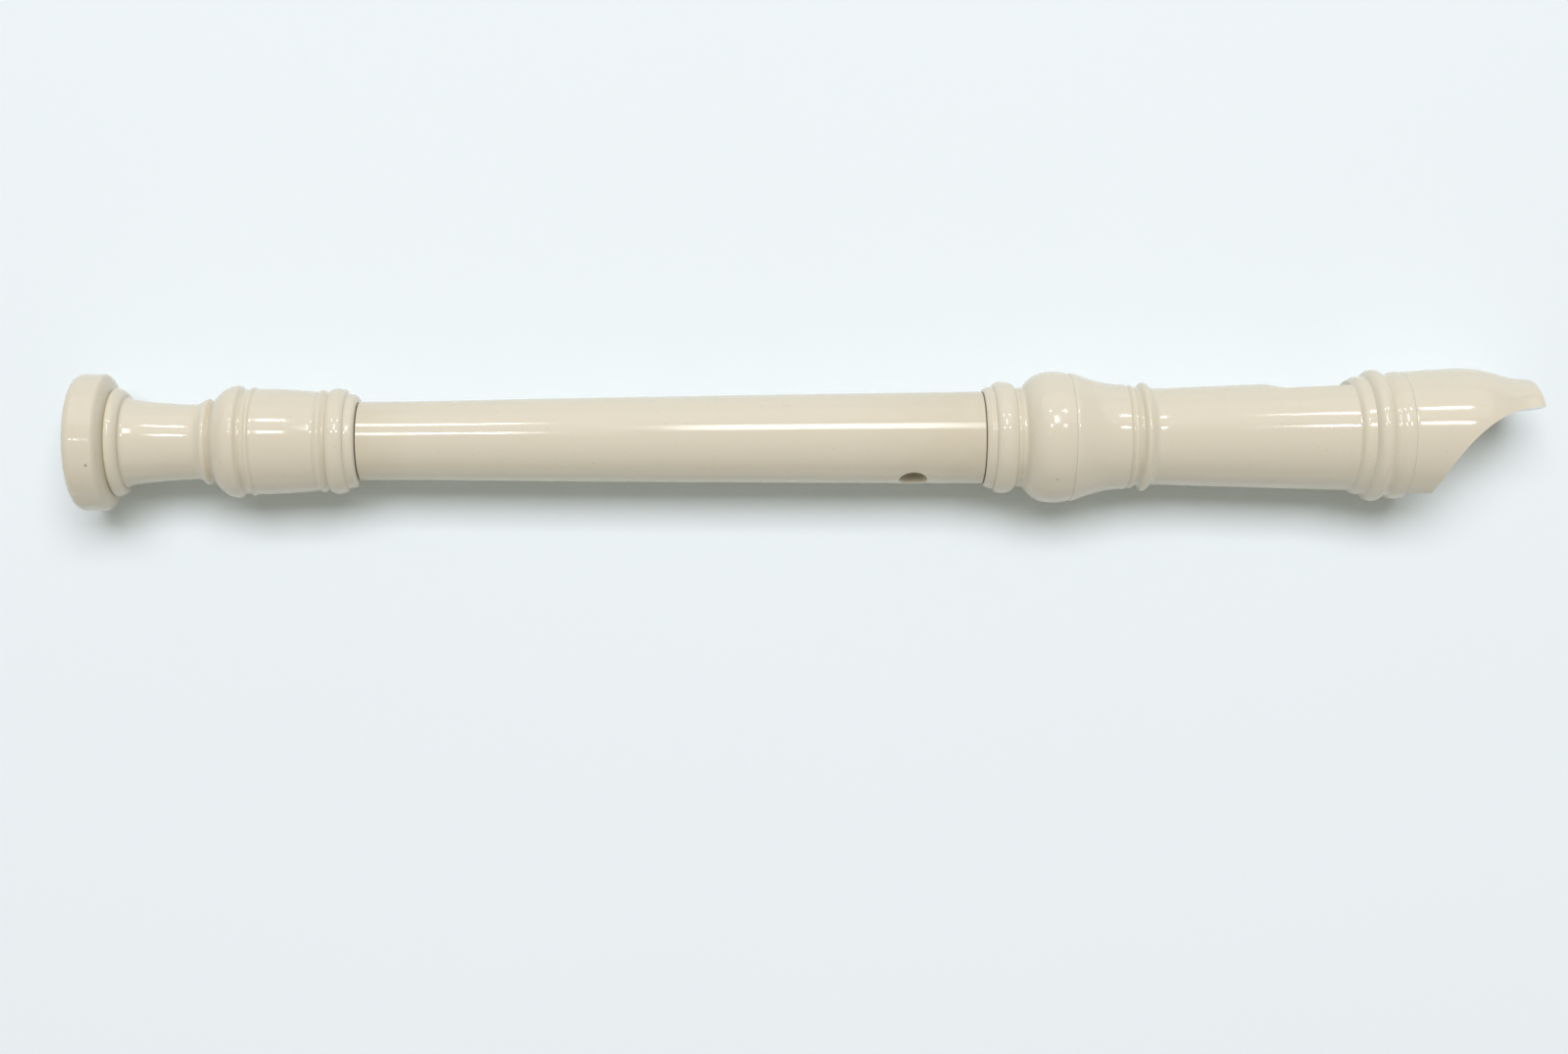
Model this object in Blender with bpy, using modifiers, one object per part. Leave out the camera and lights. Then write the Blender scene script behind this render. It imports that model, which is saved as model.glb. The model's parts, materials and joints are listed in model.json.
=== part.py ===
"""Soprano recorder in three joints: foot, middle and head, lying on its side.

Sizes are in millimetres and become metres where a mesh is made. A station is a distance along the
instrument: on the foot from the bell end, on the middle from its lower shoulder, on the head from the mouth
of its socket.
The instrument lies along world X with the beak at +X, and the head's window faces world +Y.
"""
import math

import bmesh
import bpy
from mathutils import Vector

MM = 0.001

# Segments round each turned piece. Flat number nought lies underneath, so the instrument rests on flats.
SEGMENTS = 36
HOLE_SEGMENTS = 20
SHARP_ANGLE = math.radians(32.0)
BEAD_STEPS = 4
CURVE_STEPS = 6

# Lengths of the three joints that show, and the gaps that stay between mouldings
FOOT_LENGTH = 62.6
MIDDLE_LENGTH = 139.6
HEAD_LENGTH = 127.2
SHOULDER_GAP = 0.3
SEAM_GAP = 0.25
FIT_CLEARANCE = 0.15

# Small rounding on moulded edges, and the widths of the creases beside the beads
EDGE_BREAK = 0.15
CREASE_WIDTH = 0.3

# How far the middle joint and the foot are turned on the head: their holes look this far below the level
MIDDLE_ROLL = math.radians(20.0)

# Foot: bell, neck, bulge, barrel and mouth
BELL_RADIUS = 15.35
BELL_WIDTH = 6.5
BELL_EDGE = 2.0
BELL_BACK = 2.0
BELL_BACK_RADIUS = 11.2
BELL_BEAD_WIDTH = 2.7
BELL_BEAD_RISE = 1.1
BELL_BEAD_END_RADIUS = 10.25
NECK_TOP_RADIUS = 9.95
NECK_RADIUS = 8.4
NECK_LENGTH = 16.4
NECK_HOLLOW = 2.2
NECK_STRAIGHT = 2.0
NECK_BEAD_WIDTH = 2.7
NECK_BEAD_RISE = 0.85
NECK_CREASE_RADIUS = 9.25
BULGE_RADIUS = 12.55
BULGE_WIDTH = 7.0
FOOT_BEAD_WIDTH = 2.4
FOOT_BEAD_RISE = 0.45
FOOT_BARREL_LOWER_RADIUS = 11.8
FOOT_BARREL_UPPER_RADIUS = 11.15
FOOT_GROOVE_RADIUS = 10.95
FOOT_MOUTH_BEAD_WIDTH = 2.2
FOOT_TORUS_WIDTH = 4.2
FOOT_TORUS_RISE = 1.05
FOOT_LIP_WIDTH = 2.4
FOOT_LIP_RADIUS = 10.6
FOOT_LIP_EDGE_RADIUS = 9.5
FOOT_LIP_STRAIGHT = 0.9
BELL_DISH_RADIUS = 9.4
BELL_DISH_DEPTH = 3.2

# Bores, from the bell up to the block
FOOT_BORE_LOWER_RADIUS = 5.1
FOOT_BORE_UPPER_RADIUS = 5.3
MIDDLE_BORE_LOWER_RADIUS = 5.4
MIDDLE_BORE_UPPER_RADIUS = 6.6
HEAD_BORE_RADIUS = 7.0

# Tenons and sockets
FOOT_SOCKET_DEPTH = 16.2
FOOT_TENON_RADIUS = 7.3
HEAD_SOCKET_DEPTH = 22.6
HEAD_TENON_RADIUS = 8.5
TENON_END_GAP = 0.4
TENON_RIDGE_WIDTH = 3.0
TENON_RELIEF = 0.25
SOCKET_CHAMFER = 0.5

# Middle joint: outside, and finger holes as (station, hole radius, sideways offset of its centre)
MIDDLE_LOWER_RADIUS = 8.8
MIDDLE_STRAIGHT = 21.6
MIDDLE_STRAIGHT_RISE = 0.1
MIDDLE_UPPER_RADIUS = 10.45
HOLE_RADII = [1.8, 2.9, 2.9, 3.2, 2.9, 2.6]
HOLE_STATIONS = [6.8, 25.6, 46.1, 71.1, 92.6, 113.6]
SMALL_HOLE_RADIUS = 1.4
PAIR_SPACING = 4.5
THUMB_HOLE_STATION = 123.9
THUMB_HOLE_RADIUS = 3.1
FOOT_HOLE_STATION = 43.2
FOOT_HOLE_RADIUS = 1.75

# Head socket: lip, torus, groove and the lower half of the bulb
HEAD_LIP_WIDTH = 2.4
HEAD_LIP_RADIUS = 11.6
HEAD_LIP_EDGE_RADIUS = 10.9
HEAD_LIP_ROUND = 1.6
HEAD_TORUS_WIDTH = 4.5
HEAD_TORUS_RISE = 1.3
HEAD_GROOVE_RADIUS = 11.35
HEAD_GROOVE_WIDTH = 1.9
BULB_RADIUS = 14.9
BULB_PEAK = 15.7
BULB_CURVE_RADIUS = 9.0
BULB_SEAM = 19.4
BULB_WALL = 2.0
SLEEVE_WALL = 1.45
SLEEVE_LAND = 3.3

# Head barrel: upper half of the bulb, beads, barrel and the rings below the beak
BULB_SHOULDER_RADIUS = 14.5
BULB_SHOULDER_WIDTH = 3.1
BULB_SHOULDER_DROP = 0.85
FLARE_LENGTH = 9.85
FLARE_END_RADIUS = 11.75
BARREL_BEAD_WIDTH = 1.4
BARREL_BEAD_RISE = 0.4
BARREL_GROOVE_WIDTH = 1.4
BARREL_RING_WIDTH = 2.2
BARREL_RING_RISE = 1.05
BARREL_STEP_WIDTH = 1.9
BARREL_STEP_SLOPE = 1.0
BARREL_STEP_RADIUS = 11.25
BARREL_CREASE_DEPTH = 0.45
BARREL_LOWER_RADIUS = 10.97
BARREL_UPPER_RADIUS = 12.5
TOP_RING_RADIUS = 13.4
TOP_RING_WIDTH = 3.2
TOP_RING_ROUND = 1.5
TOP_TORUS_RISE = 1.15
TOP_TORUS_WIDTH = 4.05
TOP_GROOVE_RADIUS = TOP_RING_RADIUS + 0.5
TOP_GROOVE_WIDTH = 1.45
TOP_BEAD_RISE = 0.45
TOP_BEAD_WIDTH = 2.9
TOP_BEAD_END_RADIUS = TOP_RING_RADIUS + 0.8

# Beak: seam with the barrel, the crown, the slope to the tip, and the cut-away underneath
BEAK_LENGTH = 32.0
BEAK_RADIUS = TOP_RING_RADIUS + 1.8
BEAK_CROWN = 9.4
BEAK_SHOULDER = 14.2
BEAK_LIP_RADIUS = 12.05
BEAK_LIP_LENGTH = 3.7
BEAK_TIP_RADIUS = 11.4
BEAK_TIP_ROUND = 0.5
BEAK_TIP_CURVE = 36.0
CUTAWAY_LENGTH = 26.4
CUTAWAY_TIP_HEIGHT = 5.65
CUTAWAY_TIP_SLOPE_LENGTH = 9.5
CUTAWAY_TIP_SLOPE_RISE = 1.05
CUTAWAY_BACK_SLOPE_LENGTH = 5.4
CUTAWAY_BACK_HEIGHT = 1.15
UNDERSIDE_DEPTH = 13.3

# Window, labium ramp and windway. The window's end and the block's end keep their distance from the tip.
WINDOW_SETBACK = 44.0
BLOCK_SETBACK = 18.3
WINDOW_LENGTH = 4.1
WINDOW_WIDTH = 11.0
RAMP_LENGTH = 15.7
RAMP_EASE = 4.8
RAMP_EASE_RADIUS = 11.25
RAMP_START_RADIUS = 12.0
LABIUM_RADIUS = 7.4
WINDWAY_WIDTH = 10.4
WINDWAY_HEIGHT = 1.2
WINDWAY_TIP_FLOOR_RADIUS = 8.5
BLOCK_OUTER_RADIUS = 7.45

CREAM = (0.80, 0.73, 0.60, 1.0)
SHELL_ROUGHNESS = 0.25
BLOCK_ROUGHNESS = 0.35

AXIS_HEIGHT = BELL_RADIUS * math.cos(math.pi / SEGMENTS)
MIDDLE_START = FOOT_LENGTH + SHOULDER_GAP
HEAD_START = MIDDLE_START + MIDDLE_LENGTH + SHOULDER_GAP
TOTAL_LENGTH = HEAD_START + HEAD_LENGTH
BEAK_START = HEAD_LENGTH - BEAK_LENGTH
WINDOW_END = HEAD_LENGTH - WINDOW_SETBACK
BLOCK_END = HEAD_LENGTH - BLOCK_SETBACK


def clear_scene():
    """Remove whatever the file opened with."""
    for thing in list(bpy.data.objects):
        bpy.data.objects.remove(thing, do_unlink=True)


def new_collection(name, shown):
    group = bpy.data.collections.new(name)
    bpy.context.scene.collection.children.link(group)
    group.hide_render = not shown
    return group


def plastic(name, roughness):
    """Gloss cream plastic of one moulding."""
    material = bpy.data.materials.new(name)
    material.use_nodes = True
    shader = material.node_tree.nodes["Principled BSDF"]
    shader.inputs["Base Color"].default_value = CREAM
    shader.inputs["Roughness"].default_value = roughness
    shader.inputs["Metallic"].default_value = 0.0
    material.diffuse_color = CREAM
    return material


def mix(low, high, share):
    return low + (high - low) * share


def bead(start, end, rise, steps=BEAD_STEPS):
    """Half-round moulding between two (station, radius) points, hollow where the rise is negative."""
    points = []
    for step in range(steps + 1):
        turn = math.pi * step / steps
        share = (1 - math.cos(turn)) / 2
        radius = mix(start[1], end[1], share) + rise * math.sin(turn)
        points.append((mix(start[0], end[0], share), radius))
    return points


def round_off(start, end, steps=3):
    """Quarter round that leaves start along the instrument and meets end square to it."""
    points = []
    for step in range(steps + 1):
        turn = math.pi / 2 * step / steps
        station = mix(start[0], end[0], math.sin(turn))
        points.append((station, mix(end[1], start[1], math.cos(turn))))
    return points


def flare(start, end, power, steps=CURVE_STEPS):
    """Hollow curve that drops fast from start and runs out level at end."""
    points = []
    for step in range(steps + 1):
        share = step / steps
        points.append((mix(start[0], end[0], share), mix(end[1], start[1], (1 - share) ** power)))
    return points


def ogee(start, end, steps=CURVE_STEPS):
    """S curve, level at both ends."""
    points = []
    for step in range(steps + 1):
        share = step / steps
        rise = (1 - math.cos(math.pi * share)) / 2
        points.append((mix(start[0], end[0], share), mix(start[1], end[1], rise)))
    return points


def bulb_arc(start, end, steps=CURVE_STEPS):
    """Stretch of the bulb's round side between two stations."""
    points = []
    for step in range(steps + 1):
        station = mix(start, end, step / steps)
        away = station - BULB_PEAK
        drop = BULB_CURVE_RADIUS - math.sqrt(BULB_CURVE_RADIUS ** 2 - away ** 2)
        points.append((station, BULB_RADIUS - drop))
    return points


def joined(*stretches):
    """One outline from several, without the points that two neighbours share."""
    outline = []
    for stretch in stretches:
        for point in stretch:
            if not outline or math.dist(outline[-1], point) > 0.02:
                outline.append(point)
    return outline


def turned(name, outer, inner, parent, group, closed=True):
    """Solid of revolution between two rising outlines. An open one meets the axis at its ends."""
    outline = list(reversed(outer)) + list(inner)
    mesh = bpy.data.meshes.new(name)
    vertices = [(radius * MM, 0.0, station * MM) for station, radius in outline]
    edges = [(index, index + 1) for index in range(len(vertices) - 1)]
    if closed:
        edges.append((len(vertices) - 1, 0))
    mesh.from_pydata(vertices, edges, [])
    piece = bpy.data.objects.new(name, mesh)
    group.objects.link(piece)
    piece.parent = parent
    piece.rotation_euler = (0.0, 0.0, math.pi / SEGMENTS)
    screw = piece.modifiers.new("turned", "SCREW")
    screw.axis = "Z"
    screw.angle = math.tau
    screw.steps = SEGMENTS
    screw.render_steps = SEGMENTS
    screw.use_merge_vertices = True
    screw.merge_threshold = 0.00001
    return piece


def finish(piece):
    """Keep the built shape as a plain mesh, shaded smooth except across its crisp edges."""
    bpy.context.view_layer.update()
    graph = bpy.context.evaluated_depsgraph_get()
    mesh = bpy.data.meshes.new_from_object(piece.evaluated_get(graph))
    mesh.name = piece.name
    piece.modifiers.clear()
    piece.data = mesh
    mesh.shade_smooth()
    mesh.set_sharp_from_angle(angle=SHARP_ANGLE)


def as_cutter(piece):
    piece.display_type = "WIRE"
    piece.hide_render = True
    return piece


def add_boolean(piece, cutter, operation):
    boolean = piece.modifiers.new(cutter.name, "BOOLEAN")
    boolean.operation = operation
    boolean.solver = "EXACT"
    boolean.object = cutter


def box(name, low, high, parent, group):
    """Plain block between two corners, given in the parent's millimetres."""
    mesh = bpy.data.meshes.new(name)
    shape = bmesh.new()
    bmesh.ops.create_cube(shape, size=1.0)
    low, high = Vector(low) * MM, Vector(high) * MM
    size = high - low
    for vertex in shape.verts:
        vertex.co = Vector((vertex.co.x * size.x, vertex.co.y * size.y, vertex.co.z * size.z))
    shape.to_mesh(mesh)
    shape.free()
    piece = bpy.data.objects.new(name, mesh)
    piece.location = (low + high) / 2
    piece.parent = parent
    group.objects.link(piece)
    return piece


def hole_cutter(name, station, radius, reach, parent, group, offset=0.0, back=False):
    """Round cutter from the axis out through the wall, at the front or, for the thumb, at the back."""
    mesh = bpy.data.meshes.new(name)
    shape = bmesh.new()
    bmesh.ops.create_cone(
        shape,
        cap_ends=True,
        segments=HOLE_SEGMENTS,
        radius1=radius * MM,
        radius2=radius * MM,
        depth=reach * MM,
    )
    shape.to_mesh(mesh)
    shape.free()
    cutter = bpy.data.objects.new(name, mesh)
    side = -1.0 if back else 1.0
    cutter.rotation_euler = (-side * math.pi / 2, 0.0, 0.0)
    cutter.location = Vector((offset, side * reach / 2, station)) * MM
    cutter.parent = parent
    group.objects.link(cutter)
    return as_cutter(cutter)


def slot_cutter(name, outline, width, floor, ceiling, parent, group):
    """Turned ring kept only between two parallel walls: what it cuts follows the round of the bore."""
    ring = turned(name, outline[0], outline[1], parent, group)
    stations = [point[0] for point in outline[0] + outline[1]]
    sides = box(
        name + "_walls",
        (-width / 2, floor, min(stations) - 1),
        (width / 2, ceiling, max(stations) + 1),
        parent,
        group,
    )
    add_boolean(ring, as_cutter(sides), "INTERSECT")
    return as_cutter(ring)


def pair_offsets():
    """Sideways places of the two small holes that share a finger, the larger one first."""
    return [PAIR_SPACING / 2, -PAIR_SPACING / 2]


def make_foot(parent, parts, cutters):
    bead_start = BELL_WIDTH + BELL_BACK
    bead_end = bead_start + BELL_BEAD_WIDTH
    neck_top = (bead_end + CREASE_WIDTH, NECK_TOP_RADIUS)
    neck_end = bead_end + NECK_LENGTH
    ring_end = neck_end + NECK_BEAD_WIDTH
    bulge_end = ring_end + BULGE_WIDTH
    bead_two_end = bulge_end + FOOT_BEAD_WIDTH
    lip_start = FOOT_LENGTH - FOOT_LIP_WIDTH
    torus_start = lip_start - FOOT_TORUS_WIDTH
    mouth_bead_start = torus_start - FOOT_MOUTH_BEAD_WIDTH
    outer = joined(
        reversed(round_off((BELL_EDGE, BELL_RADIUS), (0.0, BELL_RADIUS - BELL_EDGE))),
        round_off((BELL_WIDTH, BELL_RADIUS), (bead_start, BELL_BACK_RADIUS)),
        bead((bead_start, BELL_BACK_RADIUS), (bead_end, BELL_BEAD_END_RADIUS), BELL_BEAD_RISE),
        flare(neck_top, (neck_end - NECK_STRAIGHT, NECK_RADIUS), NECK_HOLLOW),
        [(neck_end, NECK_RADIUS + EDGE_BREAK)],
        bead((neck_end, NECK_RADIUS + EDGE_BREAK), (ring_end, NECK_CREASE_RADIUS), NECK_BEAD_RISE),
        bulge(ring_end, bulge_end),
        bead((bulge_end, FOOT_BARREL_LOWER_RADIUS), (bead_two_end, FOOT_BARREL_LOWER_RADIUS), FOOT_BEAD_RISE),
        foot_barrel(bead_two_end, mouth_bead_start),
        bead((mouth_bead_start, FOOT_BARREL_UPPER_RADIUS), (torus_start, FOOT_GROOVE_RADIUS), FOOT_BEAD_RISE),
        bead((torus_start, FOOT_GROOVE_RADIUS), (lip_start, FOOT_LIP_RADIUS), FOOT_TORUS_RISE),
        round_off(
            (lip_start + FOOT_LIP_STRAIGHT, FOOT_LIP_RADIUS - EDGE_BREAK), (FOOT_LENGTH, FOOT_LIP_EDGE_RADIUS)
        ),
    )
    socket_radius = FOOT_TENON_RADIUS + FIT_CLEARANCE
    socket_floor = FOOT_LENGTH - FOOT_SOCKET_DEPTH
    inner = [
        (0.0, BELL_DISH_RADIUS),
        (BELL_DISH_DEPTH, FOOT_BORE_LOWER_RADIUS),
        (socket_floor, FOOT_BORE_UPPER_RADIUS),
        (socket_floor, socket_radius),
        (FOOT_LENGTH - SOCKET_CHAMFER, socket_radius),
        (FOOT_LENGTH, socket_radius + SOCKET_CHAMFER),
    ]
    foot = turned("foot", outer, inner, parent, parts)
    radii = [FOOT_HOLE_RADIUS, SMALL_HOLE_RADIUS]
    for number, (radius, offset) in enumerate(zip(radii, pair_offsets()), start=1):
        cutter = hole_cutter(
            f"hole_seven_{number}", FOOT_HOLE_STATION, radius, 2 * BELL_RADIUS, parent, cutters, offset
        )
        add_boolean(foot, cutter, "DIFFERENCE")
    return foot


def bulge(start, end):
    """Round swelling above the neck: a hollow foot, a full crest and a short steep top."""
    crest = mix(start, end, 0.78)
    middle = (mix(start, crest, 0.45), mix(NECK_CREASE_RADIUS, BULGE_RADIUS, 0.62))
    return joined(
        [(start, NECK_CREASE_RADIUS), middle],
        reversed(round_off((crest, BULGE_RADIUS), middle)),
        round_off((crest, BULGE_RADIUS), (end, FOOT_BARREL_LOWER_RADIUS)),
    )


def foot_barrel(start, end):
    """Gently crowned barrel, drawn in towards the mouth."""
    points = []
    for step in range(4):
        share = step / 3
        radius = mix(FOOT_BARREL_LOWER_RADIUS, FOOT_BARREL_UPPER_RADIUS, share ** 1.8)
        points.append((mix(start, end, share), radius))
    return points


def tenon(start, end, radius):
    """Tenon outline with a raised ridge at each end and a relieved middle."""
    side = 1.0 if end > start else -1.0
    ridge = side * TENON_RIDGE_WIDTH
    relieved = radius - TENON_RELIEF
    return [
        (start, relieved),
        (start + ridge / 3, relieved),
        (start + ridge / 3, radius),
        (start + ridge, radius),
        (start + ridge, relieved),
        (end - ridge, relieved),
        (end - ridge, radius),
        (end - side * SOCKET_CHAMFER, radius),
        (end, radius - SOCKET_CHAMFER),
    ]


def make_middle(parent, parts, cutters):
    lower_end = -(FOOT_SOCKET_DEPTH + SHOULDER_GAP - TENON_END_GAP)
    upper_end = MIDDLE_LENGTH + HEAD_SOCKET_DEPTH + SHOULDER_GAP - TENON_END_GAP
    outer = (
        list(reversed(tenon(0.0, lower_end, FOOT_TENON_RADIUS)))
        + [
            (0.0, MIDDLE_LOWER_RADIUS - EDGE_BREAK),
            (EDGE_BREAK, MIDDLE_LOWER_RADIUS),
            (MIDDLE_STRAIGHT, MIDDLE_LOWER_RADIUS + MIDDLE_STRAIGHT_RISE),
            (MIDDLE_LENGTH - EDGE_BREAK, MIDDLE_UPPER_RADIUS),
            (MIDDLE_LENGTH, MIDDLE_UPPER_RADIUS - EDGE_BREAK),
        ]
        + tenon(MIDDLE_LENGTH, upper_end, HEAD_TENON_RADIUS)
    )
    inner = [(lower_end, MIDDLE_BORE_LOWER_RADIUS), (upper_end, MIDDLE_BORE_UPPER_RADIUS)]
    tube = turned("middle_tube", outer, inner, parent, parts)
    reach = 2 * MIDDLE_UPPER_RADIUS
    for number, (station, radius) in enumerate(zip(HOLE_STATIONS, HOLE_RADII)):
        places = [(radius, 0.0)]
        if number == 0:
            places = list(zip([radius, SMALL_HOLE_RADIUS], pair_offsets()))
        for part, (size, offset) in enumerate(places):
            name = f"hole_{6 - number}_{part + 1}"
            add_boolean(tube, hole_cutter(name, station, size, reach, parent, cutters, offset), "DIFFERENCE")
    thumb = hole_cutter(
        "thumb_hole", THUMB_HOLE_STATION, THUMB_HOLE_RADIUS, reach, parent, cutters, back=True
    )
    add_boolean(tube, thumb, "DIFFERENCE")
    return tube


def make_head_socket(parent, parts):
    torus_end = HEAD_LIP_WIDTH + HEAD_TORUS_WIDTH
    groove_end = torus_end + HEAD_GROOVE_WIDTH
    outer = joined(
        reversed(round_off((HEAD_LIP_ROUND, HEAD_LIP_RADIUS), (0.0, HEAD_LIP_EDGE_RADIUS))),
        bead((HEAD_LIP_WIDTH, HEAD_LIP_RADIUS), (torus_end, HEAD_GROOVE_RADIUS), HEAD_TORUS_RISE, 5),
        [(groove_end, HEAD_GROOVE_RADIUS)],
        bulb_arc(groove_end + CREASE_WIDTH, BULB_SEAM, 7),
    )
    socket_radius = HEAD_TENON_RADIUS + FIT_CLEARANCE
    sleeve_radius = socket_radius + SLEEVE_WALL
    sleeve_end = HEAD_SOCKET_DEPTH + SLEEVE_LAND
    shell_radius = BULB_RADIUS - BULB_WALL
    cavity_floor = groove_end + BULB_WALL
    inner = [
        (0.0, socket_radius + SOCKET_CHAMFER),
        (SOCKET_CHAMFER, socket_radius),
        (HEAD_SOCKET_DEPTH, socket_radius),
        (HEAD_SOCKET_DEPTH, HEAD_BORE_RADIUS),
        (sleeve_end, HEAD_BORE_RADIUS),
        (sleeve_end, sleeve_radius),
        (cavity_floor, sleeve_radius),
        (cavity_floor, mix(sleeve_radius, shell_radius, 0.45)),
        (cavity_floor + BULB_WALL, shell_radius),
        (BULB_SEAM, shell_radius),
    ]
    return turned("head_socket", outer, inner, parent, parts)


def block_radius(station):
    """Radius of the tapered block, which is driven in from the beak's side."""
    share = (station - WINDOW_END) / (BLOCK_END - WINDOW_END)
    return mix(HEAD_BORE_RADIUS - FIT_CLEARANCE, BLOCK_OUTER_RADIUS, share)


def make_head_barrel(parent, parts):
    start = BULB_SEAM + SEAM_GAP
    shoulder_end = start + BULB_SHOULDER_WIDTH
    flare_end = shoulder_end + FLARE_LENGTH
    bead_end = flare_end + BARREL_BEAD_WIDTH
    barrel_ring_start = bead_end + BARREL_GROOVE_WIDTH
    ring_end = barrel_ring_start + BARREL_RING_WIDTH
    step_end = ring_end + BARREL_STEP_WIDTH
    end = BEAK_START
    bead_start = end - TOP_BEAD_WIDTH
    groove_start = bead_start - TOP_GROOVE_WIDTH
    torus_start = groove_start - TOP_TORUS_WIDTH
    ring_start = torus_start - TOP_RING_WIDTH
    shoulder_radius = BULB_SHOULDER_RADIUS - BULB_SHOULDER_DROP
    crease = (flare_end + CREASE_WIDTH, FLARE_END_RADIUS - BARREL_CREASE_DEPTH)
    ring_crest = (ring_start + TOP_RING_ROUND, TOP_RING_RADIUS)
    outer = joined(
        [(start, BULB_SHOULDER_RADIUS - EDGE_BREAK), (start + CREASE_WIDTH, BULB_SHOULDER_RADIUS)],
        shoulder(start + CREASE_WIDTH, shoulder_end, shoulder_radius),
        flare((shoulder_end, shoulder_radius), (flare_end, FLARE_END_RADIUS), 1.9),
        [crease],
        bead(crease, (bead_end, BARREL_STEP_RADIUS), BARREL_BEAD_RISE, 3),
        bead((barrel_ring_start, BARREL_STEP_RADIUS), (ring_end, BARREL_STEP_RADIUS), BARREL_RING_RISE),
        [(step_end - BARREL_STEP_SLOPE, BARREL_STEP_RADIUS), (step_end, BARREL_LOWER_RADIUS)],
        [(ring_start, BARREL_UPPER_RADIUS)],
        reversed(round_off(ring_crest, (ring_start, BARREL_UPPER_RADIUS))),
        [(torus_start, TOP_RING_RADIUS)],
        bead((torus_start, TOP_RING_RADIUS), (groove_start, TOP_GROOVE_RADIUS), TOP_TORUS_RISE, 6),
        bead((bead_start, TOP_GROOVE_RADIUS), (end, TOP_BEAD_END_RADIUS), TOP_BEAD_RISE),
    )
    sleeve_radius = HEAD_TENON_RADIUS + SLEEVE_WALL + 2 * FIT_CLEARANCE
    sleeve_end = HEAD_SOCKET_DEPTH + SLEEVE_LAND + SEAM_GAP
    shell_radius = BULB_RADIUS - BULB_WALL
    inner = [
        (start, shell_radius),
        (shoulder_end, shoulder_radius - BULB_WALL),
        (shoulder_end, sleeve_radius),
        (sleeve_end, sleeve_radius),
        (sleeve_end, HEAD_BORE_RADIUS),
        (WINDOW_END, HEAD_BORE_RADIUS),
        (end, block_radius(end) + FIT_CLEARANCE),
    ]
    return turned("head_barrel", outer, inner, parent, parts)


def shoulder(start, end, end_radius):
    """Full round above the bulb's seam, cut off where the flare takes over."""
    points = []
    for step in range(4):
        share = step / 3
        points.append((mix(start, end, share), mix(BULB_SHOULDER_RADIUS, end_radius, share ** 1.7)))
    return points


def make_beak(parent, parts, cutters):
    start = BEAK_START + SEAM_GAP
    crown = BEAK_START + BEAK_CROWN
    slope = BEAK_START + BEAK_SHOULDER
    lip = HEAD_LENGTH - BEAK_LIP_LENGTH
    corner = (HEAD_LENGTH - BEAK_TIP_ROUND, BEAK_LIP_RADIUS - EDGE_BREAK)
    outer = joined(
        reversed(flare_out(crown, start)),
        ogee((slope, BEAK_RADIUS - EDGE_BREAK), (lip, BEAK_LIP_RADIUS), 7),
        round_off(corner, (HEAD_LENGTH, BEAK_TIP_RADIUS)),
        [(HEAD_LENGTH, 0.0)],
    )
    pocket_end = BLOCK_END + SEAM_GAP
    inner = [
        (start, block_radius(start) + FIT_CLEARANCE),
        (pocket_end, block_radius(BLOCK_END) + FIT_CLEARANCE),
        (pocket_end, 0.0),
    ]
    beak = turned("beak", outer, inner, parent, parts, closed=False)
    add_boolean(beak, cutaway_cutter(parent, cutters), "DIFFERENCE")
    add_boolean(beak, tip_cutter(parent, cutters), "DIFFERENCE")
    return beak


def flare_out(crown, start):
    """Side of the beak from its crown back to the seam."""
    points = []
    for step in range(5):
        share = step / 4
        drop = (BEAK_RADIUS - TOP_BEAD_END_RADIUS) * (1 - math.cos(math.pi / 2 * share))
        points.append((mix(crown, start, share), BEAK_RADIUS - drop))
    return points


def tip_cutter(parent, cutters):
    """Everything beyond the beak's end, which is curved from side to side."""
    beyond = HEAD_LENGTH + BEAK_RADIUS
    outline = [(-BEAK_RADIUS, beyond)]
    for step in range(13):
        across = mix(-BEAK_RADIUS, BEAK_RADIUS, step / 12)
        outline.append((across, HEAD_LENGTH - across ** 2 / (2 * BEAK_TIP_CURVE)))
    outline.append((BEAK_RADIUS, beyond))
    return flat_cutter("beak_tip", outline, (math.pi / 2, 0.0, 0.0), parent, cutters)


def cutaway_cutter(parent, cutters):
    """Everything below the beak's hollow underside and the flat behind it."""
    tip = (HEAD_LENGTH, CUTAWAY_TIP_HEIGHT)
    tip_handle = (HEAD_LENGTH - CUTAWAY_TIP_SLOPE_LENGTH, CUTAWAY_TIP_HEIGHT + CUTAWAY_TIP_SLOPE_RISE)
    back = (HEAD_LENGTH - CUTAWAY_LENGTH, -UNDERSIDE_DEPTH)
    back_handle = (back[0] + CUTAWAY_BACK_SLOPE_LENGTH, CUTAWAY_BACK_HEIGHT)
    outline = bezier(tip, tip_handle, back_handle, back, 10)
    below = -2 * BEAK_RADIUS
    behind = BEAK_START - CUTAWAY_BACK_SLOPE_LENGTH
    beyond = HEAD_LENGTH + BEAK_RADIUS
    corners = [(behind, -UNDERSIDE_DEPTH), (behind, below), (beyond, below)]
    outline = [(beyond, CUTAWAY_TIP_HEIGHT)] + outline + corners
    outline = [(height, station) for station, height in outline]
    return flat_cutter("cutaway", outline, (math.pi / 2, 0.0, math.pi / 2), parent, cutters)


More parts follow.
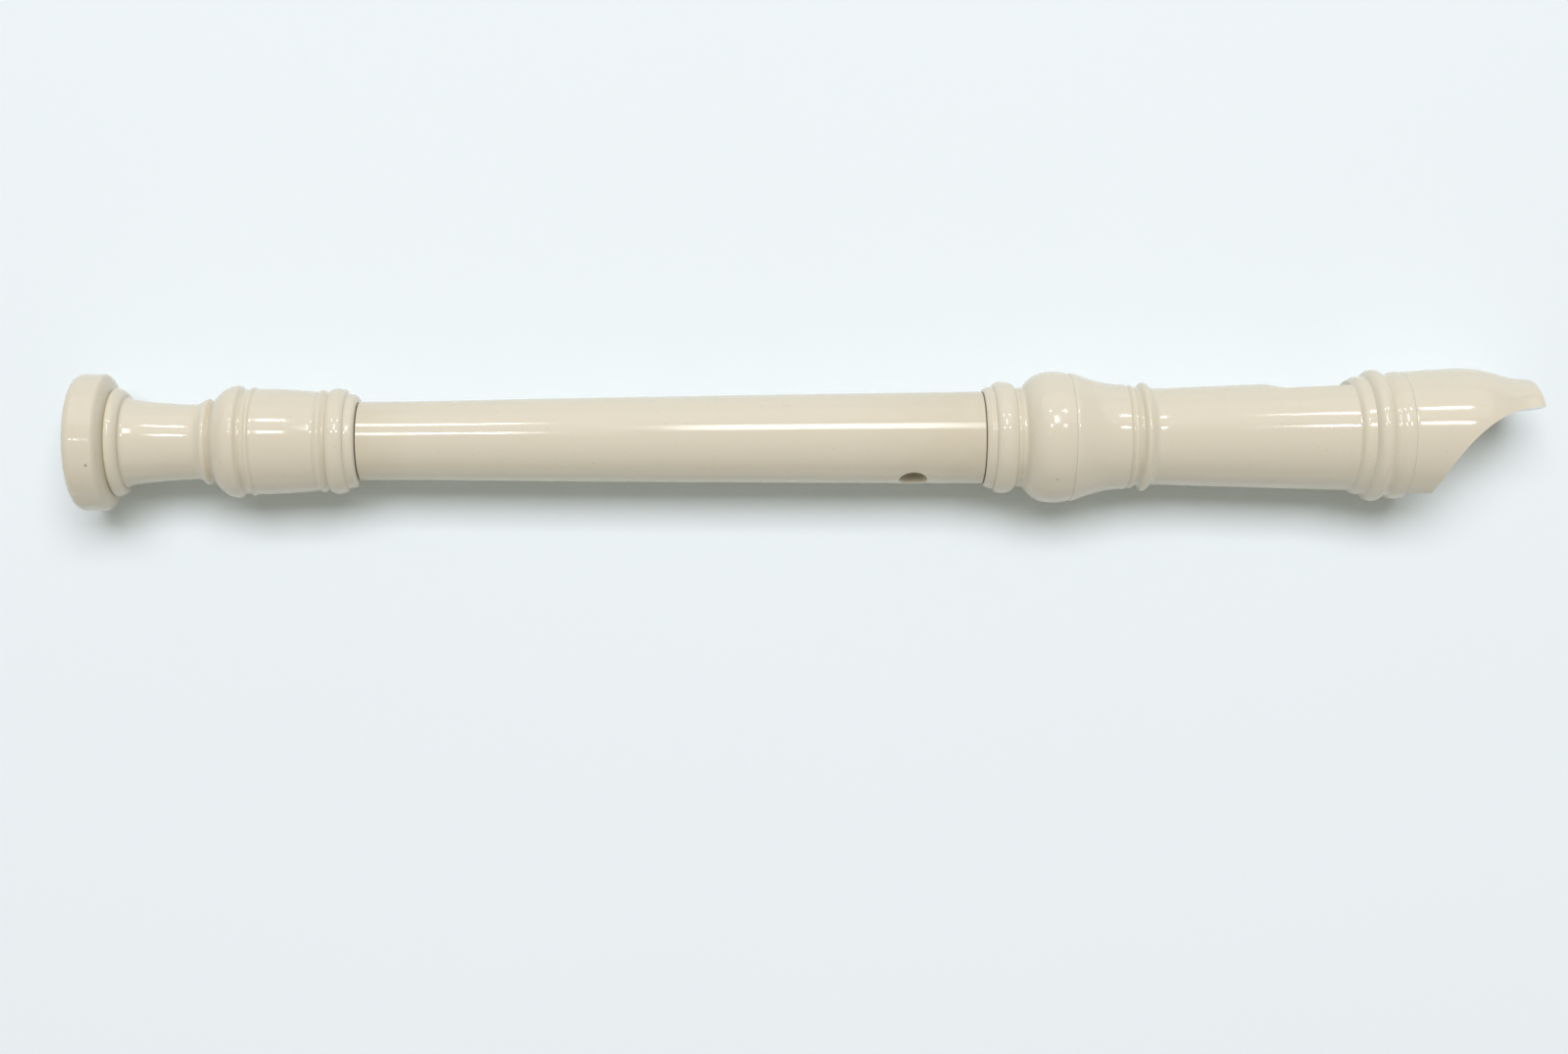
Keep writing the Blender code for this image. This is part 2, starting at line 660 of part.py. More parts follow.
def flat_cutter(name, outline, turn, parent, cutters):
    """Flat outline of (sideways, station) points given a width on both sides, then turned into place."""
    curve = bpy.data.curves.new(name, "CURVE")
    curve.dimensions = "2D"
    curve.fill_mode = "BOTH"
    curve.extrude = 1.5 * BEAK_RADIUS * MM
    spline = curve.splines.new("POLY")
    spline.points.add(len(outline) - 1)
    spline.use_cyclic_u = True
    for point, (sideways, station) in zip(spline.points, outline):
        point.co = (sideways * MM, station * MM, 0.0, 1.0)
    flat = bpy.data.objects.new(name + "_outline", curve)
    cutters.objects.link(flat)
    solid = mesh_from_curve(name, flat, cutters)
    solid.parent = parent
    solid.rotation_euler = turn
    return as_cutter(solid)


def bezier(start, start_handle, end_handle, end, steps):
    points = []
    for step in range(steps + 1):
        share = step / steps
        rest = 1 - share
        weights = (rest ** 3, 3 * rest ** 2 * share, 3 * rest * share ** 2, share ** 3)
        corners = (start, start_handle, end_handle, end)
        points.append(tuple(sum(w * c[axis] for w, c in zip(weights, corners)) for axis in (0, 1)))
    return points


def mesh_from_curve(name, flat, group):
    """Closed mesh of a filled curve, with its caps welded on."""
    bpy.context.view_layer.update()
    mesh = bpy.data.meshes.new_from_object(flat.evaluated_get(bpy.context.evaluated_depsgraph_get()))
    shape = bmesh.new()
    shape.from_mesh(mesh)
    bmesh.ops.remove_doubles(shape, verts=shape.verts, dist=0.00001)
    bmesh.ops.recalc_face_normals(shape, faces=shape.faces)
    shape.to_mesh(mesh)
    shape.free()
    solid = bpy.data.objects.new(name, mesh)
    group.objects.link(solid)
    bpy.data.objects.remove(flat, do_unlink=True)
    return solid


def make_block(parent, parts, cutters):
    """Tapered plug between the window and the beak's pocket, cut flush with the underside."""
    start = WINDOW_END
    length = BLOCK_END - start
    mesh = bpy.data.meshes.new("block")
    shape = bmesh.new()
    bmesh.ops.create_cone(
        shape,
        cap_ends=True,
        segments=SEGMENTS,
        radius1=block_radius(start) * MM,
        radius2=block_radius(BLOCK_END) * MM,
        depth=length * MM,
    )
    shape.to_mesh(mesh)
    shape.free()
    block = bpy.data.objects.new("block", mesh)
    parts.objects.link(block)
    block.parent = parent
    block.location = (0.0, 0.0, (start + length / 2) * MM)
    block.rotation_euler = (0.0, 0.0, math.pi / SEGMENTS)
    add_boolean(block, cutaway_cutter(parent, cutters), "DIFFERENCE")
    return block


def windway_cutter(parent, cutters):
    """Air channel over the block, from the tip of the beak to the window."""
    near = WINDOW_END - WINDWAY_HEIGHT
    tip = HEAD_LENGTH + WINDWAY_HEIGHT
    floor_start = HEAD_BORE_RADIUS
    roof_start = floor_start + WINDWAY_HEIGHT
    roof_tip = WINDWAY_TIP_FLOOR_RADIUS + WINDWAY_HEIGHT
    pocket_end = BLOCK_END + SEAM_GAP
    share = (pocket_end - WINDOW_END) / (HEAD_LENGTH - WINDOW_END)
    outer = [(near, roof_start), (WINDOW_END, roof_start), (tip, roof_tip)]
    inner = [
        (near, HEAD_BORE_RADIUS / 2),
        (pocket_end, HEAD_BORE_RADIUS / 2),
        (pocket_end, mix(floor_start, WINDWAY_TIP_FLOOR_RADIUS, share)),
        (tip, WINDWAY_TIP_FLOOR_RADIUS),
    ]
    ceiling = roof_tip + WINDWAY_HEIGHT
    floor = HEAD_BORE_RADIUS * 0.55
    return slot_cutter("windway", (outer, inner), WINDWAY_WIDTH, floor, ceiling, parent, cutters)


def window_cutter(parent, cutters):
    """Window and the ramp that slopes down to the edge of the labium. It begins just outside the barrel."""
    labium = WINDOW_END - WINDOW_LENGTH
    start = labium - RAMP_LENGTH
    outside = 1.5 * BARREL_UPPER_RADIUS
    outer = [(start, outside), (WINDOW_END, outside)]
    inner = [
        (start, RAMP_START_RADIUS),
        (start + RAMP_EASE, RAMP_EASE_RADIUS),
        (labium, LABIUM_RADIUS),
        (labium, HEAD_BORE_RADIUS / 2),
        (WINDOW_END, HEAD_BORE_RADIUS / 2),
    ]
    floor = HEAD_BORE_RADIUS * 0.55
    return slot_cutter("window", (outer, inner), WINDOW_WIDTH, floor, outside, parent, cutters)


def axis_frame(name, station, roll, parent, group):
    """Empty on the instrument's axis: its Z runs to the beak, its Y is the front of that joint."""
    empty = bpy.data.objects.new(name, None)
    empty.parent = parent
    empty.location = (0.0, 0.0, station * MM)
    empty.rotation_euler = (0.0, 0.0, -roll)
    group.objects.link(empty)
    return empty


def main():
    clear_scene()
    parts = new_collection("recorder", True)
    cutters = new_collection("cutters", False)
    axis = bpy.data.objects.new("instrument_axis", None)
    axis.location = (-TOTAL_LENGTH / 2 * MM, 0.0, AXIS_HEIGHT * MM)
    axis.rotation_euler = (0.0, math.pi / 2, 0.0)
    parts.objects.link(axis)
    foot_frame = axis_frame("foot_joint", 0.0, MIDDLE_ROLL, axis, parts)
    middle_frame = axis_frame("middle_joint", MIDDLE_START, MIDDLE_ROLL, axis, parts)
    head_frame = axis_frame("head_joint", HEAD_START, 0.0, axis, parts)

    foot = make_foot(foot_frame, parts, cutters)
    middle = make_middle(middle_frame, parts, cutters)
    socket = make_head_socket(head_frame, parts)
    barrel = make_head_barrel(head_frame, parts)
    beak = make_beak(head_frame, parts, cutters)
    block = make_block(head_frame, parts, cutters)
    windway = windway_cutter(head_frame, cutters)
    add_boolean(barrel, window_cutter(head_frame, cutters), "DIFFERENCE")
    add_boolean(barrel, windway, "DIFFERENCE")
    add_boolean(beak, windway, "DIFFERENCE")

    for piece in (foot, middle, socket, barrel, beak):
        piece.data.materials.append(plastic(piece.name, SHELL_ROUGHNESS))
    block.data.materials.append(plastic(block.name, BLOCK_ROUGHNESS))
    for piece in (foot, middle, socket, barrel, beak, block):
        finish(piece)


main()
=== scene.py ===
"""A cream plastic soprano recorder lying on a pale table, laid out as an add-on.

Each operator models one moulding over the frame's solids, and the last one sets the stage. A station is a
distance in millimetres from the end of the foot towards the beak, and a radius is a distance in millimetres
from the axis of the bore. An outline is a list of (station, radius) points.
"""
import json
import math

import bmesh
import bpy
from mathutils import Matrix, Vector


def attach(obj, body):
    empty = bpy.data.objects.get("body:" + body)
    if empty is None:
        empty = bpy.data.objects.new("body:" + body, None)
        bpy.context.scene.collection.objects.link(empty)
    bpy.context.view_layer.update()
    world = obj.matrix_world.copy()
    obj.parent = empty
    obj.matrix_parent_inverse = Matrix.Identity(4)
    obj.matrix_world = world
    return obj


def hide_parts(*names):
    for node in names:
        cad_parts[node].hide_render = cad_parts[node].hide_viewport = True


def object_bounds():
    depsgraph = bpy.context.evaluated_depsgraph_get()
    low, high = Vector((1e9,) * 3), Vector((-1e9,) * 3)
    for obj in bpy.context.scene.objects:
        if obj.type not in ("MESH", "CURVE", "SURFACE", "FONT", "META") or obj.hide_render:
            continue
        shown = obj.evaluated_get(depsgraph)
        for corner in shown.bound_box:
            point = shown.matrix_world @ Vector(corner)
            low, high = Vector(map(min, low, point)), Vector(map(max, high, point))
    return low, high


bl_info = {
    "name": "Soprano recorder",
    "version": (1, 0, 0),
    "blender": (4, 5, 0),
    "location": "3D View > Sidebar > Recorder",
    "description": "Models the mouldings of a soprano recorder over its frame",
    "category": "Object",
}

MM = 0.001
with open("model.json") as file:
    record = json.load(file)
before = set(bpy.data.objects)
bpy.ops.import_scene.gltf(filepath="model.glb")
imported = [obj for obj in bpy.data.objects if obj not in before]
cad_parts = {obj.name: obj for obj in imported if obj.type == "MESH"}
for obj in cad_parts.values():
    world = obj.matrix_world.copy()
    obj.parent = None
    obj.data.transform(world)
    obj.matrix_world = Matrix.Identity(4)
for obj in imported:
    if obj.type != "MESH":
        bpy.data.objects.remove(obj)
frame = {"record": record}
CAD_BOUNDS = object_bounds()
FOOT_END = CAD_BOUNDS[0].x
TURN = next(joint for joint in frame["record"]["behaviour"]["joints"] if joint["name"] == "foot_turn")
AXIS_Z = TURN["pos_m"][2]
BELL_RADIUS = AXIS_Z / MM
FRONT = Vector((0.0, 1.0, 0.0))
UP = Vector((0.0, 0.0, 1.0))

# Rounding, shading and cutting, with the weld in metres and the other lengths in millimetres
WELD = 0.000002
POINT_GAP = 0.012
CORNER_ANGLE = math.radians(28)
CORNER_POINTS = 4
SEAM_ROUND = 0.04
SEAM_REACH = 0.1
SMOOTH_ANGLE = math.radians(34)
SLAB_WIDTH = 40.0
HOLE_SIDES = 64
HOLE_DEPTH = 6.5
RIM_STEPS = 6
RIM_SWEEP = math.radians(80)
MOUTH_SPREAD = 0.6
MOUTH_CLEARANCE = 0.9

# Painted shade in the grooves, and the two dirty marks as (station, side, height, reach, strength)
CREASE = "crease"
MARK_COLOUR = (0.16, 0.13, 0.09, 1.0)
BELL_MARK = (5.5, -5.5, 14.3, 0.42, 0.75)
BULB_MARK = (218.2, -9.8, 11.1, 0.55, 0.3)

# Scales of the patterns in the plastic, in cycles a metre
GROOVE_SHADE_SCALE = 160.0
TINT_SCALE = 22.0
SPECK_SCALE = 1500.0
SMEAR_SCALE = 60.0
RIPPLE_SCALE = 90.0
SCRATCH_SCALE = (60.0, 900.0, 900.0)
MARK_SCALE = 2500.0


# Sizes and finishes that a user would change


class RecorderShape(bpy.types.PropertyGroup):
    """Sizes of the recorder's mouldings."""

    facets: bpy.props.IntProperty(
        name="Facets",
        description="Sides of each turned moulding",
        default=144,
        min=24,
        max=256,
    )
    edge_round: bpy.props.FloatProperty(
        name="Edge round",
        description="Radius on the crisp edges of the turned mouldings, in millimetres",
        default=0.16,
        min=0.02,
        max=0.5,
    )
    hole_round: bpy.props.FloatProperty(
        name="Hole round",
        description="Radius on the rims of the finger holes, in millimetres",
        default=0.4,
        min=0.1,
        max=0.8,
    )
    joint_roll: bpy.props.FloatProperty(
        name="Joint roll",
        description="How far the middle and foot joints are turned on the head",
        default=math.radians(20.0),
        subtype="ANGLE",
    )
    thumb_radius: bpy.props.FloatProperty(
        name="Thumb hole",
        description="Radius of the thumb hole, in millimetres",
        default=3.1,
        min=2.0,
        max=4.0,
    )


class RecorderFinish(bpy.types.PropertyGroup):
    """Colours and roughness of the plastic."""

    shell: bpy.props.FloatVectorProperty(
        name="Shell",
        description="Colour of the mouldings",
        default=(0.74, 0.69, 0.568, 1.0),
        size=4,
        subtype="COLOR",
    )
    block: bpy.props.FloatVectorProperty(
        name="Block",
        description="Colour of the block",
        default=(0.71, 0.64, 0.51, 1.0),
        size=4,
        subtype="COLOR",
    )
    # Colour of the painted shade in the grooves; the uneven tint and the dust specks lean towards it too
    groove_shade: bpy.props.FloatVectorProperty(
        name="Groove shade and dirt",
        description="Colour of the painted shade in the grooves, and of the tint and specks",
        default=(0.42, 0.33, 0.17, 1.0),
        size=4,
        subtype="COLOR",
    )
    roughness: bpy.props.FloatProperty(
        name="Roughness",
        description="Roughness of the clean plastic",
        default=0.085,
        subtype="FACTOR",
    )


class RecorderStage(bpy.types.PropertyGroup):
    """Table and camera."""

    table: bpy.props.FloatVectorProperty(
        name="Table",
        description="Colour of the table top",
        default=(0.865, 0.945, 1.0, 1.0),
        size=4,
        subtype="COLOR",
    )
    camera_height: bpy.props.FloatProperty(
        name="Camera height",
        description="Height of the camera above the bore",
        default=0.5047,
        unit="LENGTH",
    )
    camera_tilt: bpy.props.FloatProperty(
        name="Camera tilt",
        description="Lean of the camera towards the beak",
        default=math.radians(2.009),
        subtype="ANGLE",
    )
    lens: bpy.props.FloatProperty(
        name="Lens",
        description="Focal length",
        default=51.3,
        unit="CAMERA",
    )


# Outlines


def mix(low, high, share):
    """Number that goes from low to high as the share goes from nought to one."""
    return low + (high - low) * share


def curve_through(points, steps=5):
    """Smooth outline through its points, with straight ends."""
    whole = []
    for index in range(len(points) - 1):
        before = points[max(index - 1, 0)]
        start, end = points[index], points[index + 1]
        after = points[min(index + 2, len(points) - 1)]
        for step in range(steps):
            share = step / steps
            place = []
            for axis in (0, 1):
                lead = (end[axis] - before[axis]) / 2
                trail = (after[axis] - start[axis]) / 2
                gap = end[axis] - start[axis]
                place.append(
                    start[axis]
                    + lead * share
                    + (3 * gap - 2 * lead - trail) * share ** 2
                    + (lead + trail - 2 * gap) * share ** 3
                )
            whole.append(tuple(place))
    whole.append(points[-1])
    return whole


def bead(start, end, rise, steps=12):
    """Half-round moulding between two points."""
    points = []
    for step in range(steps + 1):
        turn = math.pi * step / steps
        share = (1 - math.cos(turn)) / 2
        points.append((mix(start[0], end[0], share), mix(start[1], end[1], share) + rise * math.sin(turn)))
    return points


def quarter(start, end, steps):
    """Quarter round that leaves start along the bore and meets end square to it."""
    points = []
    for step in range(steps + 1):
        turn = math.pi / 2 * step / steps
        points.append((mix(start[0], end[0], math.sin(turn)), mix(end[1], start[1], math.cos(turn))))
    return points


def bezier(corners, steps=32):
    """Curve from the first corner to the last, drawn towards the two between them."""
    points = []
    for step in range(steps + 1):
        share = step / steps
        rest = 1 - share
        weights = (rest ** 3, 3 * rest ** 2 * share, 3 * rest * share ** 2, share ** 3)
        points.append(tuple(sum(w * corner[axis] for w, corner in zip(weights, corners)) for axis in (0, 1)))
    return points


def joined(*stretches):
    """One outline from several, without doubled points."""
    outline = []
    for stretch in stretches:
        for point in stretch:
            if not outline or math.dist(outline[-1], point) > POINT_GAP:
                outline.append(point)
    return outline


def eased(outline, radius, seams=()):
    """The closed outline with a small round on each crisp corner, smaller still at a glued seam."""
    soft = []
    count = len(outline)
    for index in range(count):
        before, here, after = outline[index - 1], outline[index], outline[(index + 1) % count]
        back = Vector(before) - Vector(here)
        ahead = Vector(after) - Vector(here)
        bend = math.pi - back.angle(ahead, 0.0)
        if bend < CORNER_ANGLE:
            soft.append(here)
            continue
        glued = any(abs(here[0] - seam) < SEAM_REACH for seam in seams)
        wanted = SEAM_ROUND if glued else radius
        reach = min(wanted * math.tan(bend / 2), back.length * 0.45, ahead.length * 0.45)
        first = Vector(here) + back.normalized() * reach
        last = Vector(here) + ahead.normalized() * reach
        for step in range(CORNER_POINTS):
            share = step / (CORNER_POINTS - 1)
            near = first.lerp(Vector(here), share)
            far = Vector(here).lerp(last, share)
            soft.append(tuple(near.lerp(far, share)))
    return soft


# Modelling helpers


def deselect_all():
    """Leave edit mode with nothing selected."""
    if bpy.context.mode != "OBJECT":
        bpy.ops.object.mode_set(mode="OBJECT")
    bpy.ops.object.select_all(action="DESELECT")


def spot(station, radius, angle=0.0):
    """Place in metres: angle nought is up, and a quarter turn is the side of the head's window."""
    return Vector(
        (
            FOOT_END + station * MM,
            radius * MM * math.sin(angle),
            AXIS_Z + radius * MM * math.cos(angle),
        )
    )


def trace(name, places, closed=True):
    """Line from place to place, drawn by extruding one vertex and left in edit mode."""
    deselect_all()
    bpy.ops.mesh.primitive_plane_add(size=MM, location=places[0])
    piece = bpy.context.active_object
    piece.name = piece.data.name = name
    bpy.ops.object.mode_set(mode="EDIT")
    bpy.ops.mesh.select_all(action="SELECT")
    bpy.ops.mesh.merge(type="CENTER")
    here = places[0]
    path = places[1:] + places[:1] if closed else places[1:]
    for there in path:
        bpy.ops.mesh.extrude_region_move(TRANSFORM_OT_translate={"value": there - here})
        here = there
    bpy.ops.mesh.select_all(action="SELECT")
    bpy.ops.mesh.remove_doubles(threshold=WELD)
    return piece


def settle():
    """Point the faces of the piece in edit mode outwards, and put its place in its mesh."""
    bpy.ops.mesh.select_all(action="SELECT")
    bpy.ops.mesh.normals_make_consistent(inside=False)
    bpy.ops.object.mode_set(mode="OBJECT")
    bpy.ops.object.transform_apply(location=True, rotation=True, scale=True)


def turn(name, outline, facets, closed=True):
    """Solid turned about the bore, from an outline that runs along the outside and back down the inside."""
    piece = trace(name, [spot(*point) for point in outline], closed)
    bpy.ops.mesh.spin(
        steps=facets,
        angle=math.tau,
        use_auto_merge=True,
        center=spot(0.0, 0.0),
        axis=(1.0, 0.0, 0.0),
    )
    bpy.ops.mesh.select_all(action="SELECT")
    bpy.ops.mesh.remove_doubles(threshold=WELD)
    settle()
    return piece


def slab(name, outline, rise, push):
    """Flat outline of (station, distance) points, drawn towards rise and extruded both ways along push."""
    across = push * SLAB_WIDTH * MM
    places = [spot(station, 0.0) + rise * distance * MM - across / 2 for station, distance in outline]
    cutter = trace(name, places)
    bpy.ops.mesh.edge_face_add()
    bpy.ops.mesh.extrude_region_move(TRANSFORM_OT_translate={"value": across})
    settle()
    return cutter


def walls(low, high, half_width, floor, ceiling):
    """Plain block between two stations that keeps only the front of a turned cutter."""
    deselect_all()
    bpy.ops.mesh.primitive_cube_add(size=1.0)
    block = bpy.context.active_object
    size = Vector((high - low, ceiling - floor, 2 * half_width)) * MM
    centre = spot((low + high) / 2, (floor + ceiling) / 2, math.pi / 2)
    block.data.transform(Matrix.Translation(centre) @ Matrix.Diagonal(size).to_4x4())
    return block


def cut(piece, cutter, operation="DIFFERENCE"):
    """Boolean with a cutter that is then removed."""
    deselect_all()
    piece.select_set(True)
    bpy.context.view_layer.objects.active = piece
    boolean = piece.modifiers.new("cut", "BOOLEAN")
    boolean.operation = operation
    boolean.solver = "EXACT"
    boolean.object = cutter
    bpy.ops.object.modifier_apply(modifier=boolean.name)
    bpy.data.objects.remove(cutter, do_unlink=True)


def surface_at(taper, station):
    """Radius and slope at a station of a joint whose outside is the taper."""
    for (start, low), (end, high) in zip(taper, taper[1:]):
        if station <= end:
            slope = (high - low) / (end - start)
            return low + slope * (station - start), slope
    raise ValueError("station beyond the taper")


def hole_cutter(hole, taper, angle, rim):
    """Round cutter whose mouth flares into a quarter round that follows the taper's own curve.

    A hole is (station, radius, sideways offset).
    """
    station, radius, offset = hole
    tube_radius, slope = surface_at(taper, station)
    deselect_all()
    bpy.ops.mesh.primitive_cylinder_add(
        vertices=HOLE_SIDES,
        radius=radius * MM,
        depth=MM,
        end_fill_type="NGON",
    )
    cutter = bpy.context.active_object
    cutter.name = "hole"
    rings = [(radius, -HOLE_DEPTH)]
    for step in range(RIM_STEPS + 1):
        sweep = RIM_SWEEP * step / RIM_STEPS
        rings.append((radius + rim * (1 - math.cos(sweep)), rim * (math.sin(sweep) - 1)))
    rings.append((rings[-1][0] + MOUTH_SPREAD, MOUTH_CLEARANCE))
    bpy.ops.object.mode_set(mode="EDIT")
    bpy.ops.mesh.select_all(action="DESELECT")
    shape = bmesh.from_edit_mesh(cutter.data)
    for face in shape.faces:
        face.select = face.normal.z > 0.9
    bmesh.update_edit_mesh(cutter.data)
    for _ in rings[2:]:
        bpy.ops.mesh.extrude_region_move(TRANSFORM_OT_translate={"value": (0.0, 0.0, MM)})
    shape = bmesh.from_edit_mesh(cutter.data)
    low = min(vertex.co.z for vertex in shape.verts)
    for vertex in shape.verts:
        level = round((vertex.co.z - low) / MM)
        wide, height = rings[level]
        around = math.atan2(vertex.co.y, vertex.co.x)
        across = offset + wide * math.sin(around)
        along = wide * math.cos(around)
        outside = math.sqrt(max((tube_radius + slope * along) ** 2 - across ** 2, 0.0))
        if level == 0:
            outside = tube_radius
        vertex.co = Vector((along * MM, across * MM, (outside + height) * MM))
    bmesh.update_edit_mesh(cutter.data)
    bpy.ops.mesh.select_all(action="SELECT")
    bpy.ops.mesh.normals_make_consistent(inside=False)
    bpy.ops.object.mode_set(mode="OBJECT")
    cutter.data.transform(Matrix.Translation(spot(station, 0.0)) @ Matrix.Rotation(-angle, 4, "X"))
    return cutter


def drill(piece, holes, taper, roll, rim, back=False):
    """Drill a row of holes in the front or the back, turned with their joint."""
    angle = math.pi / 2 + roll + (math.pi if back else 0.0)
    for hole in holes:
        cut(piece, hole_cutter(hole, taper, angle, rim))


def smooth_piece(piece):
    """Smooth shading across all but the crisp edges, led by the larger faces."""
    deselect_all()
    piece.select_set(True)
    bpy.context.view_layer.objects.active = piece
    bpy.ops.object.shade_smooth_by_angle(angle=SMOOTH_ANGLE)
    weighted = piece.modifiers.new("weighted", "WEIGHTED_NORMAL")
    weighted.keep_sharp = True
    bpy.ops.object.modifier_apply(modifier=weighted.name)


def mark_creases(piece, creases):
    """Float on each vertex: how deep it lies in a groove, which sets how much painted shade it gets. A
    crease is (station, reach, strength).
    """
    layer = piece.data.attributes.new(CREASE, "FLOAT", "POINT")
    for vertex, value in zip(piece.data.vertices, layer.data):
        station = (vertex.co.x - FOOT_END) / MM
        depth = 0.0
        for place, reach, strength in creases:
            away = abs(station - place) / reach
            if away < 1.0:
                depth = max(depth, strength * (1.0 - away) ** 2)
        value.value = depth


def finished(piece, creases, material, body, slot, *nodes):
    """Shade the piece, give it its grooves, its material and its body, and hide the frame's parts that it
    stands for.
    """
    smooth_piece(piece)
    mark_creases(piece, creases)
    piece.data.materials.clear()
    piece.data.materials.append(material)
    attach(piece, body)
    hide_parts(*nodes)


# Materials


def new_group(name, inputs, outputs):
    """Shader node group with the sockets named here."""
    group = bpy.data.node_groups.new(name, "ShaderNodeTree")
    for socket, kind in inputs:
        group.interface.new_socket(name=socket, in_out="INPUT", socket_type=kind)
    for socket, kind in outputs:
        group.interface.new_socket(name=socket, in_out="OUTPUT", socket_type=kind)
    return group, group.nodes.new("NodeGroupInput"), group.nodes.new("NodeGroupOutput")


def feed(tree, socket, value):
    """Link the socket to another node's, or set it to a plain value."""
    if isinstance(value, bpy.types.NodeSocket):
        tree.links.new(value, socket)
    else:
        socket.default_value = value


def noise(tree, position, scale, detail):
    """Noise from nought to one, with its scale in cycles a metre."""
    node = tree.nodes.new("ShaderNodeTexNoise")
    node.inputs["Scale"].default_value = scale
    node.inputs["Detail"].default_value = detail
    tree.links.new(position, node.inputs["Vector"])
    return node.outputs["Fac"]


def blend_colour(tree, share, low, high):
    """Colour that goes from low to high as the share goes from nought to one."""
    node = tree.nodes.new("ShaderNodeMix")
    node.data_type = "RGBA"
    for index, value in ((0, share), (6, low), (7, high)):
        feed(tree, node.inputs[index], value)
    return node.outputs[2]


def map_range(tree, value, low, high, start, end):
    """Value mapped from low..high to start..end and clamped."""
    node = tree.nodes.new("ShaderNodeMapRange")
    node.inputs["From Min"].default_value = low
    node.inputs["From Max"].default_value = high
    node.inputs["To Min"].default_value = start
    node.inputs["To Max"].default_value = end
    tree.links.new(value, node.inputs["Value"])
    return node.outputs["Result"]


def combine(tree, operation, first, second):
    """Sum, product or the like of two values."""
    node = tree.nodes.new("ShaderNodeMath")
    node.operation = operation
    for index, value in enumerate((first, second)):
        feed(tree, node.inputs[index], value)
    return node.outputs[0]


def handled_plastic_group():
    """Uneven tint, painted shade in the grooves, dust specks, smears in the gloss and fine scratches."""
    name = "handled plastic"
    if name in bpy.data.node_groups:
        return bpy.data.node_groups[name]
    colours = "NodeSocketColor"
    numbers = "NodeSocketFloat"
    inputs = [("Plastic", colours), ("Groove shade and dirt", colours)]
    inputs += [("Groove shade amount", numbers), ("Clean roughness", numbers)]
    outputs = [("Colour", colours), ("Roughness", numbers), ("Height", numbers)]
    group, given, made = new_group(name, inputs, outputs)
    place = group.nodes.new("ShaderNodeTexCoord").outputs["Object"]

    # Painted shade: the deeper a point lies in a groove, the darker it is painted, in patches, and the
    # rougher it is made below
    crease = group.nodes.new("ShaderNodeAttribute")
    crease.attribute_name = CREASE
    patchy = map_range(group, noise(group, place, GROOVE_SHADE_SCALE, 3.0), 0.3, 0.7, 0.55, 1.0)
    groove_shade = combine(group, "MULTIPLY", crease.outputs["Fac"], given.outputs["Groove shade amount"])
    groove_shade = combine(group, "MULTIPLY", groove_shade, patchy)

    tint = map_range(group, noise(group, place, TINT_SCALE, 2.0), 0.35, 0.75, 0.0, 0.025)
    specks = map_range(group, noise(group, place, SPECK_SCALE, 0.0), 0.80, 0.84, 0.0, 0.2)
    amount = combine(group, "MAXIMUM", combine(group, "MAXIMUM", groove_shade, tint), specks)
    colour = blend_colour(group, amount, given.outputs["Plastic"], given.outputs["Groove shade and dirt"])

    smear = map_range(group, noise(group, place, SMEAR_SCALE, 4.0), 0.35, 0.75, 0.0, 0.045)
    rough = combine(group, "ADD", given.outputs["Clean roughness"], smear)
    rough = combine(group, "ADD", rough, combine(group, "MULTIPLY", groove_shade, 0.3))

    stretch = group.nodes.new("ShaderNodeMapping")
    stretch.inputs["Scale"].default_value = SCRATCH_SCALE
    group.links.new(place, stretch.inputs["Vector"])
    scratch = combine(group, "MULTIPLY", noise(group, stretch.outputs["Vector"], 1.0, 2.0), 0.15)
    ripple = combine(group, "MULTIPLY", noise(group, place, RIPPLE_SCALE, 1.0), 0.3)
    height = combine(group, "ADD", scratch, ripple)
    for value, socket in ((colour, "Colour"), (rough, "Roughness"), (height, "Height")):
        group.links.new(value, made.inputs[socket])
    return group


def marked(tree, colour, mark):
    """The colour with one small ragged dirty mark."""
    station, side, up, reach, strength = mark
    place = tree.nodes.new("ShaderNodeTexCoord").outputs["Object"]
    away = tree.nodes.new("ShaderNodeVectorMath")
    away.operation = "DISTANCE"
    away.inputs[1].default_value = (FOOT_END + station * MM, side * MM, AXIS_Z + up * MM)
    tree.links.new(place, away.inputs[0])
    ragged = combine(tree, "MULTIPLY", noise(tree, place, MARK_SCALE, 2.0), reach * MM)
    distance = combine(tree, "ADD", away.outputs["Value"], ragged)
    mask = map_range(tree, distance, reach * MM * 0.7, reach * MM * 1.5, strength, 0.0)
    return blend_colour(tree, mask, colour, MARK_COLOUR)


